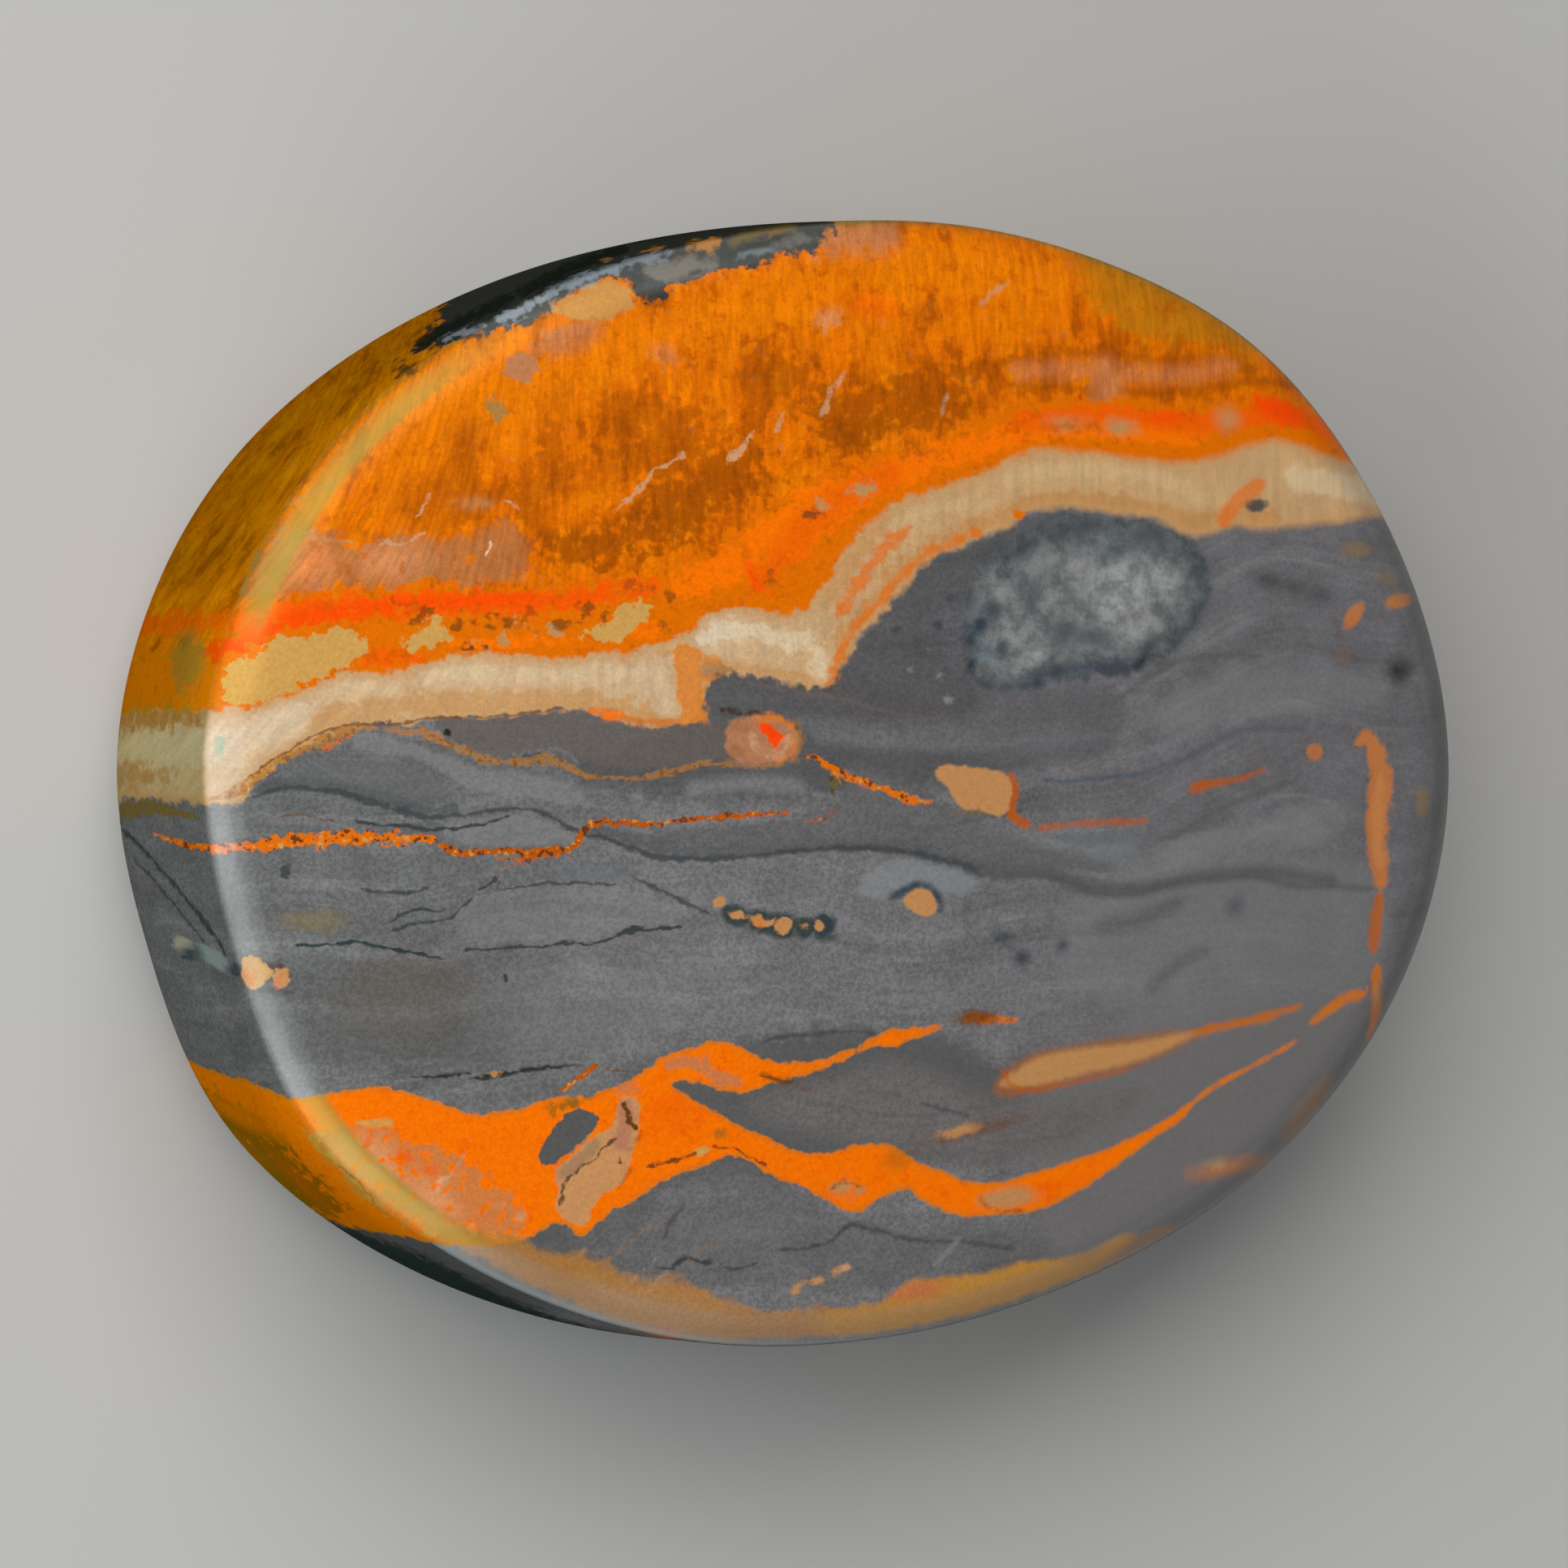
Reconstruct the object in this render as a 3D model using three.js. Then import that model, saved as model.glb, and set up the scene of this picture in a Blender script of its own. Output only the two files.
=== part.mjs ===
// A palm stone of bumblebee jasper: one oval slab, cut and polished by hand.
// Millimetres, +Z up. The stone lies on its flat base with the origin under its middle,
// its long side runs along X and its polished face looks up.

import * as THREE from "three";

// Radii of the upper edge, every 15 degrees from +X towards +Y.
// The outline is a hand-ground oval with soft corners, so no ellipse fits it.
const OUTLINE_RADII = [
  30.7, 30.2, 29.5, 29.0, 27.3, 26.3,
  25.5, 25.35, 26.1, 27.35, 29.05, 30.0,
  30.6, 29.65, 30.2, 28.7, 27.3, 26.4,
  25.65, 25.6, 26.05, 27.4, 28.8, 30.05,
];

// The side flares outwards towards its foot, most of all at the -X end.
const FLARE = 0.45;
const EXTRA_FLARE_AT_LEFT_END = 0.45;

// Rise of the polished face from its rim to its middle.
const FACE_CROWN = 1.2;

// The edge from the rim of the face down to the rim of the base:
// distance in from the outline, height above the base, share of the flare.
const EDGE_PROFILE = [
  { inset: 2.9, height: 16.62, flare: 0.0 },
  { inset: 2.0, height: 16.55, flare: 0.0 },
  { inset: 1.35, height: 16.4, flare: 0.0 },
  { inset: 0.8, height: 16.1, flare: 0.0 },
  { inset: 0.25, height: 15.72, flare: 0.0 },
  { inset: 0.02, height: 15.45, flare: 0.05 },
  { inset: 0.0, height: 14.9, flare: 0.1 },
  { inset: 0.0, height: 13.0, flare: 0.3 },
  { inset: 0.0, height: 10.0, flare: 0.6 },
  { inset: 0.0, height: 7.0, flare: 0.9 },
  { inset: 0.0, height: 4.6, flare: 1.0 },
  { inset: 0.15, height: 3.2, flare: 1.0 },
  { inset: 0.75, height: 1.7, flare: 1.0 },
  { inset: 1.9, height: 0.6, flare: 1.0 },
  { inset: 3.3, height: 0.08, flare: 1.0 },
  { inset: 4.6, height: 0.0, flare: 1.0 },
];

// Fineness of the mesh.
const SECTORS = 96;
const FACE_RINGS = 9;
const EDGE_RINGS = 38;

// Look of the grey groundmass, which fills most of the stone.
const STONE_COLOUR = "#6e7072";
const POLISH_ROUGHNESS = 0.28;

// Weights of four neighbouring control values of a uniform cubic B-spline.
function splineWeights(f) {
  const g = 1 - f;
  return [
    (g * g * g) / 6,
    (3 * f * f * f - 6 * f * f + 4) / 6,
    (-3 * f * f * f + 3 * f * f + 3 * f + 1) / 6,
    (f * f * f) / 6,
  ];
}

// Radius of the upper edge in a direction, on a closed spline through the measured radii.
function outlineRadius(angle) {
  const count = OUTLINE_RADII.length;
  const place = (angle / (2 * Math.PI)) * count;
  const first = Math.floor(place);
  return splineWeights(place - first).reduce(
    (sum, weight, i) => sum + weight * OUTLINE_RADII[(first + i - 1 + count) % count],
    0,
  );
}

// How far the foot of the side stands out past the upper edge in a direction.
function flareAt(angle) {
  const towardsLeft = Math.max(0, -Math.cos(angle));
  return FLARE + EXTRA_FLARE_AT_LEFT_END * towardsLeft * towardsLeft;
}

// Control point of the edge profile; one past either end continues the line straight on.
function profileControl(i, key) {
  const last = EDGE_PROFILE.length - 1;
  if (i < 0) return 2 * EDGE_PROFILE[0][key] - EDGE_PROFILE[1][key];
  if (i > last) return 2 * EDGE_PROFILE[last][key] - EDGE_PROFILE[last - 1][key];
  return EDGE_PROFILE[i][key];
}

// Point of the edge profile, t from 0 at the face to 1 at the base.
function profilePoint(t) {
  const spans = EDGE_PROFILE.length - 1;
  const first = Math.min(Math.floor(t * spans), spans - 1);
  const weights = splineWeights(t * spans - first);
  const blend = (key) =>
    weights.reduce((sum, weight, i) => sum + weight * profileControl(first + i - 1, key), 0);
  return { inset: blend("inset"), height: blend("height"), flare: blend("flare") };
}

// One ring of points round the stone, its radius and height given by a function of the angle.
function ring(radiusAt, height) {
  const points = [];
  for (let i = 0; i < SECTORS; i += 1) {
    const angle = (2 * Math.PI * i) / SECTORS;
    const radius = radiusAt(angle);
    points.push(radius * Math.cos(angle), radius * Math.sin(angle), height);
  }
  return points;
}

// Rings of the domed face, from the innermost one out, without the rim that the edge starts with.
function faceRings() {
  const rim = profilePoint(0);
  const rings = [];
  for (let i = 1; i < FACE_RINGS; i += 1) {
    const share = i / FACE_RINGS;
    const height = rim.height + FACE_CROWN * (1 - share * share);
    rings.push(ring((angle) => share * (outlineRadius(angle) - rim.inset), height));
  }
  return rings;
}

// Rings of the edge, from the rim of the face down to the rim of the flat base.
function edgeRings() {
  const rings = [];
  for (let i = 0; i < EDGE_RINGS; i += 1) {
    const { inset, height, flare } = profilePoint(i / (EDGE_RINGS - 1));
    rings.push(ring((angle) => outlineRadius(angle) + flare * flareAt(angle) - inset, height));
  }
  return rings;
}

// Triangles that join the top point, the rings from top to bottom, and the point under them.
function triangles(ringCount) {
  const faces = [];
  const vertex = (ringIndex, sector) => 1 + ringIndex * SECTORS + (sector % SECTORS);
  const bottom = 1 + ringCount * SECTORS;
  for (let s = 0; s < SECTORS; s += 1) {
    faces.push(0, vertex(0, s), vertex(0, s + 1));
    for (let r = 0; r + 1 < ringCount; r += 1) {
      faces.push(vertex(r, s), vertex(r + 1, s), vertex(r + 1, s + 1));
      faces.push(vertex(r, s), vertex(r + 1, s + 1), vertex(r, s + 1));
    }
    faces.push(bottom, vertex(ringCount - 1, s + 1), vertex(ringCount - 1, s));
  }
  return faces;
}

// The stone's closed surface, moved so that the origin is under the middle of its length and width.
function stoneGeometry() {
  const rings = [...faceRings(), ...edgeRings()];
  const top = profilePoint(0).height + FACE_CROWN;
  const positions = [0, 0, top, ...rings.flat(), 0, 0, 0];
  const geometry = new THREE.BufferGeometry();
  geometry.setAttribute("position", new THREE.Float32BufferAttribute(positions, 3));
  geometry.setIndex(triangles(rings.length));
  geometry.computeBoundingBox();
  const middle = geometry.boundingBox.getCenter(new THREE.Vector3());
  geometry.translate(-middle.x, -middle.y, 0);
  geometry.computeVertexNormals();
  return geometry;
}

const stone = new THREE.Mesh(
  stoneGeometry(),
  new THREE.MeshStandardMaterial({
    color: STONE_COLOUR,
    roughness: POLISH_ROUGHNESS,
    metalness: 0,
  }),
);
stone.name = "stone";

const palmStone = new THREE.Group();
palmStone.add(stone);

export default palmStone;
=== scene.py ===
# A polished palm stone of bumblebee jasper lying on a pale floor.
# Its bands, veins and spots are colour in one rock. Each one is drawn below, in
# millimetres as seen from above, and the same drawing runs down through the stone.
import math

import bpy
import numpy as np
from mathutils import Matrix, Vector


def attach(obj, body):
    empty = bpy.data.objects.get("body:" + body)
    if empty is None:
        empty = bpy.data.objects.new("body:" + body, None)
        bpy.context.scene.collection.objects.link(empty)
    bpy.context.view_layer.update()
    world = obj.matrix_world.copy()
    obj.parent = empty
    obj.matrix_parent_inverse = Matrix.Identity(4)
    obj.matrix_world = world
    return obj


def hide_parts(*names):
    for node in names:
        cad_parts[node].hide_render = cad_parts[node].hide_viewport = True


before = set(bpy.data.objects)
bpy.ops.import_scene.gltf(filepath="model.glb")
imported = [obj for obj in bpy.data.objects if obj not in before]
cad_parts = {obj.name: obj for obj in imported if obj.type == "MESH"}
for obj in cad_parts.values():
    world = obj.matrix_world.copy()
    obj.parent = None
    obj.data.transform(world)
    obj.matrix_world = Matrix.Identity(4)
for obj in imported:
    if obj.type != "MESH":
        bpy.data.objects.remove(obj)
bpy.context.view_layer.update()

MM = 0.001

# The solid's shape, in millimetres: the same outline, edge and crown as the source of the part.
OUTLINE_RADII = (
    30.7, 30.2, 29.5, 29.0, 27.3, 26.3,
    25.5, 25.35, 26.1, 27.35, 29.05, 30.0,
    30.6, 29.65, 30.2, 28.7, 27.3, 26.4,
    25.65, 25.6, 26.05, 27.4, 28.8, 30.05,
)
FLARE = 0.45
EXTRA_FLARE_AT_LEFT_END = 0.45
FACE_CROWN = 1.2
# Distance in from the outline, height above the base, share of the flare.
EDGE_PROFILE = (
    (2.9, 16.62, 0.0), (2.0, 16.55, 0.0), (1.35, 16.4, 0.0), (0.8, 16.1, 0.0),
    (0.25, 15.72, 0.0), (0.02, 15.45, 0.05), (0.0, 14.9, 0.1), (0.0, 13.0, 0.3),
    (0.0, 10.0, 0.6), (0.0, 7.0, 0.9), (0.0, 4.6, 1.0), (0.15, 3.2, 1.0),
    (0.75, 1.7, 1.0), (1.9, 0.6, 1.0), (3.3, 0.08, 1.0), (4.6, 0.0, 1.0),
)

# Fineness of the mesh: each ring of the face has six more vertices than the one inside it.
FACE_RINGS = 120
EDGE_RINGS = 44
BASE_RINGS = 60

# Hand polishing leaves slow waves of this depth, always inwards.
POLISH_WAVE = 0.03
# Open pits are this deep. The grooves of cracks and threads are shallower, with sides this wide.
PIT_DEPTH = 0.05
GROOVE_DEPTH = 0.4 * PIT_DEPTH
GROOVE_EDGE = 0.1
# Below this height the stone stays as the solid is.
FOOT_HEIGHT = 0.5
# Height of the fine grain, which is only shaded.
BUMP_HEIGHT = 0.02

# The layers of the rock lean towards +X on their way down, by this much sideways for each
# millimetre of depth below the rim.
RIM_HEIGHT = 16.0
LEAN = 0.3
# At the base the drawing has wandered about this far along Y.
BASE_SHIFT = 3.0

# The calcite's fibres spread from this height in the drawing. They lean more and more over this
# run to the left of the start.
FAN_MIDDLE = 9
FAN_START = -13
FAN_RUN = 14
FAN_LEAN = 0.85

# The grey rock's thin layers rise this much over this run to the right of the start. The climb
# fades in over a stretch above the foot.
CLIMB_START = 11
CLIMB_RUN = 12
CLIMB_RISE = 3.4
CLIMB_FOOT = -6
CLIMB_FADE = 5

# The edges between the rock's colours grow softer over this run to the right of the start.
BLUR_START = -8
BLUR_RUN = 26
BLUR_GAIN = 1.4


def rgb(red, green, blue):
    """Linear colour of a display colour given from 0 to 255."""
    def linear(value):
        share = value / 255
        return share / 12.92 if share <= 0.04045 else ((share + 0.055) / 1.055) ** 2.4
    return (linear(red), linear(green), linear(blue))


# Colours of the rock.
GREY_LEFT = rgb(101, 102, 102)
GREY_MIDDLE = rgb(114, 112, 114)
GREY_RIGHT = rgb(104, 102, 105)
GREY_LOW = rgb(87, 87, 87)
GREY_WARM = rgb(110, 107, 107)
GREY_DARK = rgb(85, 83, 82)
GREY_PALE = rgb(132, 130, 132)
PURPLE_GREY = rgb(100, 92, 89)
BLUE_GREY = rgb(100, 109, 115)
SEAM_GREY = rgb(62, 65, 67)
NAVY = rgb(34, 52, 62)
TEAL_DARK = rgb(44, 60, 58)
BLACK_GREEN = rgb(33, 38, 30)
CRYSTAL = rgb(126, 129, 128)
CRYSTAL_PALE = rgb(148, 151, 149)
CRYSTAL_DARK = rgb(76, 80, 82)
ORANGE = rgb(222, 108, 2)
ORANGE_HOT = rgb(248, 114, 3)
ORANGE_BRIGHT = rgb(232, 122, 3)
ORANGE_BROWN = rgb(183, 85, 4)
AMBER_DARK = rgb(143, 67, 4)
RED_ORANGE = rgb(240, 92, 4)
RED_DEEP = rgb(248, 70, 4)
OCHRE = rgb(178, 118, 42)
OCHRE_DARK = rgb(128, 86, 14)
OLIVE = rgb(112, 92, 28)
BROWN = rgb(104, 60, 20)
BROWN_DARK = rgb(62, 44, 34)
TAN = rgb(190, 136, 84)
TAN_PALE = rgb(201, 154, 82)
PINK = rgb(186, 122, 80)
PINK_PALE = rgb(200, 148, 108)
CREAM = rgb(203, 170, 132)
CREAM_PALE = rgb(209, 181, 144)
CREAM_TAN = rgb(196, 148, 96)
WHITE = rgb(216, 196, 168)

# Half the width of a crisp edge between two colours, in millimetres.
CRISP = 0.05

# The side below the rim is darker than the face: painted shade. Its orange rock is also browner.
SIDE_SHADE = (0.68, 0.68, 0.68)
SIDE_SHADE_ORANGE = (0.5, 0.7, 0.28)
SIDE_SHADE_WARM = (0.36, 0.57, 0.3)
# Just below the rim the painted shade on the warm side is this much lighter.
SIDE_SHADE_LIFT = 1.35
# Painted shade of the cream band's side.
SIDE_SHADE_CREAM = (0.51, 0.57, 0.46)
# The cream band is yellower towards the right.
CREAM_RIGHT_TONE = (0.92, 0.84, 0.7)
# The rounded edge is painted towards these pale tones: a painted sheen with light scuffing. It covers the
# rock by these shares all round, along the lower left and on the orange rock.
BEVEL_SHEEN_TONE = rgb(150, 156, 156)
BEVEL_SHEEN_TONE_WARM = rgb(152, 137, 56)
BEVEL_SHEEN_COVER = 0.14
BEVEL_SHEEN_COVER_LOW = 0.5
BEVEL_SHEEN_COVER_WARM = 0.66
# Gloss and roughness of the polished face, its rounded edge and the side; the orange rock's
# reflections are warm.
FACE_GLOSS = 0.3
BEVEL_GLOSS = 0.9
SIDE_GLOSS = 0.0
WARM_SHEEN = (1.0, 0.8, 0.22)
FACE_ROUGHNESS = 0.26
SIDE_ROUGHNESS = 0.5
STONE_IOR = 1.5

# Noises of the rock: features per millimetre along each axis, offset, detail and roughness.
NOISES = {
    "ragged": ((1.7, 1.7, 1.0), 0.0, 4.0, 0.56), "breaks": ((1.9, 1.9, 1.5), 21.0, 3.0, 0.6),
    "beads": ((2.8, 2.8, 1.5), 63.0, 2.0, 0.6), "mottle": ((0.55, 0.55, 0.4), 7.3, 5.0, 0.6),
    "flecks": ((1.7, 1.5, 1.0), 41.0, 4.0, 0.65), "grain": ((5.5, 5.5, 4.0), 2.6, 4.0, 0.75),
    "layers": ((0.06, 0.8, 0.1), 3.1, 5.0, 0.62), "fine_layers": ((0.35, 2.4, 0.3), 9.4, 4.0, 0.7),
    "crystals": ((1.3, 1.3, 0.8), 31.0, 5.0, 0.68), "flames": ((0.9, 0.45, 0.3), 5.7, 4.0, 0.6),
    "streaks": ((3.2, 0.5, 0.5), 12.3, 3.0, 0.6), "columns": ((2.2, 0.3, 0.5), 17.0, 3.0, 0.55),
}

# The floor, the lights and the camera.
FLOOR_COLOUR = rgb(186, 185, 183)
FLOOR_ROUGHNESS = 0.8
FLOOR_HALF = 900.0
WORLD_COLOUR = (0.9, 0.95, 1.0)
WORLD_STRENGTH = 0.08
# Each light's azimuth and elevation in degrees, distance, width, height, watts and colour. They
# face a point at this height above the middle of the base.
LIGHT_TARGET_HEIGHT = 10
LIGHTS = (
    ("key", 122, 50, 600, 600, 500, 3.6, (1.0, 0.98, 0.95)),
    ("left", 180, 30, 500, 300, 260, 0.8, (0.95, 1.0, 1.0)),
    ("front_left", 232, 28, 500, 400, 240, 0.85, (0.95, 1.0, 1.0)),
)
AIM = Vector((-2.7705, -0.0430, 15.5))
CAMERA_DISTANCE = 350.0
CAMERA_BACK = Vector((-0.3417, 0.0149, 0.9397))
LENS = 176.09
SENSOR = 36.0

# How far past a line its field still follows it, and past an outline its depth is still measured.
LINE_MARGIN = 0.32
AREA_MARGIN = 1.0
# Depth or distance of a vertex that no shape of a layer is near.
FAR = 9.0


def patch(colour, points, soft=CRISP, strength=1.0):
    """An area with a drawn outline."""
    return {"kind": "patch", "colour": colour, "points": points, "soft": soft, "strength": strength}


def spot(colour, x, y, long, short=None, turn=0, soft=CRISP, strength=1.0):
    """An oval area: its middle, its two radii and how far its long side is turned, in degrees."""
    shape = (x, y, long, long if short is None else short, math.radians(turn))
    return {"kind": "spot", "colour": colour, "points": shape, "soft": soft, "strength": strength}


def spots(colour, *ovals):
    return [spot(colour, *oval) for oval in ovals]


def band(colour, points, width, soft=CRISP, strength=1.0):
    """An area of an even half-width along a drawn line."""
    wide = [(x, y, width) for x, y in points]
    return {"kind": "band", "colour": colour, "points": wide, "soft": soft, "strength": strength}


def line(colour, points, width=0.08, strength=1.0):
    """A thin line. A point may hold its own half-width after x and y."""
    wide = [(p[0], p[1], p[2] if len(p) > 2 else width) for p in points]
    return {"kind": "line", "colour": colour, "points": wide, "soft": CRISP, "strength": strength}


# Orange calcite: everything above the cream band.
CALCITE = [
    (-40, 2.5), (-30, 2.6), (-27, 3), (-24, 4.5), (-20, 4.9), (-10, 4.8), (-8.6, 5.5), (-6, 6.6), (-3.5, 6.4),
    (-2, 7), (-0.5, 8.6), (1, 10.5), (3, 11.7), (6, 12.8), (8, 13.7), (12, 13.9), (16, 13.5), (19, 13.5),
    (22, 13.8), (26, 13.5), (40, 13.5), (40, 40), (-40, 40),
]

# Cream band: its upper edge from left to right, then its lower edge back.
CREAM_BAND = [
    (-40, 3.4), (-30, 3.3), (-27, 3.75), (-24.6, 5), (-23.6, 5.15), (-22.5, 5), (-21.4, 5.1), (-19.8, 5.8),
    (-18.8, 5.95), (-15.5, 5.8), (-14.6, 5.55), (-14.1, 5.85), (-13.4, 5.6), (-12.9, 5.95), (-11.6, 6),
    (-10.95, 5.7), (-10.5, 6.1), (-8.7, 6.6), (-7.9, 7), (-7.4, 7.6), (-6.6, 7.95), (-5.5, 8), (-4.4, 7.75),
    (-3.2, 7.7), (-2.5, 8), (-2, 8.6), (-1.3, 9.2), (-0.9, 10.2), (-0.3, 10.9), (1.2, 12.3), (2, 12.9),
    (6, 14.1), (7.8, 14.9), (9, 15.3), (10.5, 15.35), (14, 14.9), (16, 14.8), (17.5, 14.85), (20.6, 15.9),
    (22, 15.8), (23.3, 15.3), (25.5, 14.8), (40, 14.4), (40, 12.6), (27, 12.5), (24, 12), (21, 11.7),
    (19.7, 11.7), (19, 11.95), (17.4, 11.35), (16.4, 11.4), (15, 12.1), (14, 12.3), (13, 12.25),
    (11.6, 12.55), (10, 12.6), (9, 12.55), (8.4, 12.4), (7.5, 11.65), (4, 10.45), (3.4, 10.2), (3, 9.9),
    (2.7, 9.4), (2.3, 8.9), (1.7, 8.4), (1.4, 7.9), (0.9, 7.4), (0.2, 7), (-1.1, 4.6), (-1.7, 4.35),
    (-2.6, 4.4), (-5.4, 4.95), (-6.2, 5), (-6.9, 4.9), (-7.3, 4.5), (-7.6, 3.3), (-7.6, 2.9), (-8.5, 2.7),
    (-11.2, 2.7), (-11.8, 3), (-13.4, 3.45), (-14.5, 3.4), (-18, 2.95), (-19, 3.1), (-20, 3.1), (-21, 2.7),
    (-22, 2.9), (-23.2, 2.8), (-26, 1.7), (-26.6, 1.2), (-27.4, 0.9), (-28.6, -0.5), (-29.2, -0.8),
    (-30, -0.9), (-40, -0.2),
]
CREAM_CORES = [
    band(CREAM_TAN, [(-27.5, 1.3), (-26, 2.4), (-24.6, 3.1), (-22.6, 3.6), (-20, 3.8), (-17, 3.75),
        (-14, 3.9), (-12, 3.6), (-10, 3.1)], 0.5, 0.45, 0.9),
    band(CREAM_TAN, [(-9.4, 5.9), (-8.4, 6), (-7.4, 5.6), (-2.4, 4.8)], 0.2, 0.3, 0.8),
    band(CREAM_TAN, [(-1, 5.4), (-0.2, 7), (2.4, 10), (4.6, 11.3), (9, 13), (12, 13), (15, 12.5), (17, 11.9),
        (19, 12.4), (21, 12.2)], 0.45, 0.5, 0.85),
    band(CREAM_TAN, [(-1.6, 8), (-0.6, 9.6), (1.6, 12.1)], 0.3, 0.4, 0.7),
    band(CREAM_PALE, [(-40, 1.8), (-31, 1.7), (-29, 1.9), (-27.6, 2.3), (-26.4, 3)], 0.7, 0.6, 0.9),
    band(WHITE, [(-33, 1.6), (-29.4, 1.8), (-27.8, 2.4), (-26.2, 3.2)], 0.6, 0.8, 0.6),
    band(CREAM_PALE, [(-24.4, 4.2), (-23, 4.4), (-21.6, 4.2)], 0.25, 0.4, 0.8),
    band(CREAM_PALE, [(-20.4, 4.9), (-18, 5), (-15, 4.9), (-12, 5.1), (-10, 5)], 0.35, 0.5, 0.95),
    band(CREAM_PALE, [(-9.6, 5.2), (-9.2, 3.4)], 0.3, 0.4, 0.9),
    band(WHITE, [(-7.4, 6.8), (-5.8, 7), (-4, 6.6), (-2.6, 6.6), (-1.9, 5.8), (-1.8, 5)], 0.42, 0.55, 0.95),
    band(CREAM_PALE, [(1.6, 11.6), (3, 12.4), (5, 12.7), (6.6, 12.8)], 0.3, 0.5, 0.8),
    band(CREAM_PALE, [(7.5, 13.9), (10, 14.5), (13, 14.4), (16, 13.9), (17.4, 13)], 0.4, 0.6, 0.95),
    band(WHITE, [(22, 14.2), (27, 13.4), (40, 13.4)], 0.6, 0.6, 0.9),
]
# Tan and orange fringe along the lower side of the cream band.
CREAM_FRINGE = [
    patch(rgb(216, 128, 44), [(-8.9, 6.2), (-8.1, 6.3), (-7.2, 5.9), (-6.2, 5.2), (-6.9, 4.9), (-7.3, 4.4),
        (-7.5, 3.5), (-7, 3), (-7.8, 2.7), (-8.8, 2.7), (-8.5, 3.6), (-8.8, 4.6)], 0.3, 0.9),
    patch(rgb(150, 96, 40), [(-7.7, 5.3), (-6.8, 5.5), (-5.6, 5.2), (-7.3, 4.7)], 0.2, 0.6),
    band(rgb(206, 112, 36), [(-12.6, 3.3), (-10, 2.8), (-8.8, 2.8)], 0.16, 0.2, 0.8),
    band(ORANGE, [(-1.4, 4.6), (-0.3, 7), (0.5, 7.7), (2.6, 9.9), (3.5, 10.5), (4.6, 11),
        (6, 11.5)], 0.2, 0.35, 0.75),
    band(ORANGE, [(-0.8, 7.8), (0, 9), (1.2, 10.6), (2.4, 11.5)], 0.3, 0.5, 0.75),
    band(ORANGE, [(20.3, 13.8), (19.3, 13.2), (18.7, 12.6), (18.4, 12)], 0.35, 0.35, 0.7),
    *spots(ORANGE_HOT, (-11.7, 3.1, 0.5, 0.2, 0, 0.15), (-12.6, 3.3, 0.3, 0.12, 0, 0.12, 0.8)),
    spot(ORANGE, 8, 12.3, 0.3, 0.24, 0, 0.15), spot(SEAM_GREY, 20.1, 12.8, 0.6, 0.28, 10, 0.2, 0.9),
    spot(rgb(110, 170, 140), -29.6, 1.7, 0.2, 0.5, 0, 0.3, 0.5),
    spot(OCHRE, -33, 3, 2.4, 0.5, 4, 0.6, 0.8), spot(OCHRE, -34, 0.4, 1.6, 0.5, 0, 0.6, 0.6),
]
OCHRE_RIM = [
    line(OCHRE, [(-30, -0.6, 0.1), (-29, -0.4, 0.2), (-27.4, 1, 0.2), (-26.4, 1.5, 0.22), (-24.2, 2.35, 0.24),
        (-23.4, 2.6, 0.14), (-22.6, 2.6, 0.06)], 0.2, 0.85),
    line(ORANGE, [(-25.2, 1.6, 0.08), (-24.4, 1.9, 0.12), (-23.8, 2.3, 0.1)], 0.1, 0.7),
]
# Brown dots strung along the foot of the cream band.
BROWN_DOTS = [
    line(BROWN, [(-28.4, 0.4, 0.03), (-27.4, 1.2, 0.05), (-24.6, 2.65, 0.06), (-23, 2.8, 0.07),
        (-21.6, 2.75, 0.06), (-20, 3.1, 0.05), (-18, 3, 0.06), (-14, 3.45, 0.04)], 0.05, 0.75),
]

# Red and orange layer between the cream band and the calcite.
RED_BAND = [
    patch(ORANGE, [(-40, 6.2), (-32, 6.2), (-29.3, 6.4), (-27.8, 7.2), (-27.2, 7.9), (-26.4, 8.3),
        (-25.4, 8.2), (-24.4, 8.7), (-22, 8.3), (-20.8, 8.7), (-20.2, 9.2), (-19.4, 9), (-18.6, 8.4),
        (-17.2, 8.8), (-15, 8.6), (-12.6, 9.3), (-11.6, 9), (-10.8, 9.6), (-9.8, 9.3), (-7.4, 10.2), (-6, 11),
        (-4, 12.8), (-2, 14), (0, 14.8), (1.5, 15), (3, 15.1), (4.5, 15.6), (6.6, 17), (10, 17.6), (12, 17.6),
        (14, 17.9), (15.6, 17.2), (17, 17.2), (20, 18.1), (21, 18.2), (22.2, 17.9), (24.5, 16.5), (40, 16.5),
        (40, 13), (26, 13.5), (20, 14.5), (16, 13.5), (10, 14), (5, 12.6), (1, 10.8), (-2, 7.2), (-6, 6.4),
        (-9, 5.2), (-15, 4.8), (-21, 4.6), (-25, 4), (-28, 3), (-40, 3)], 0.15),
]
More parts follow.
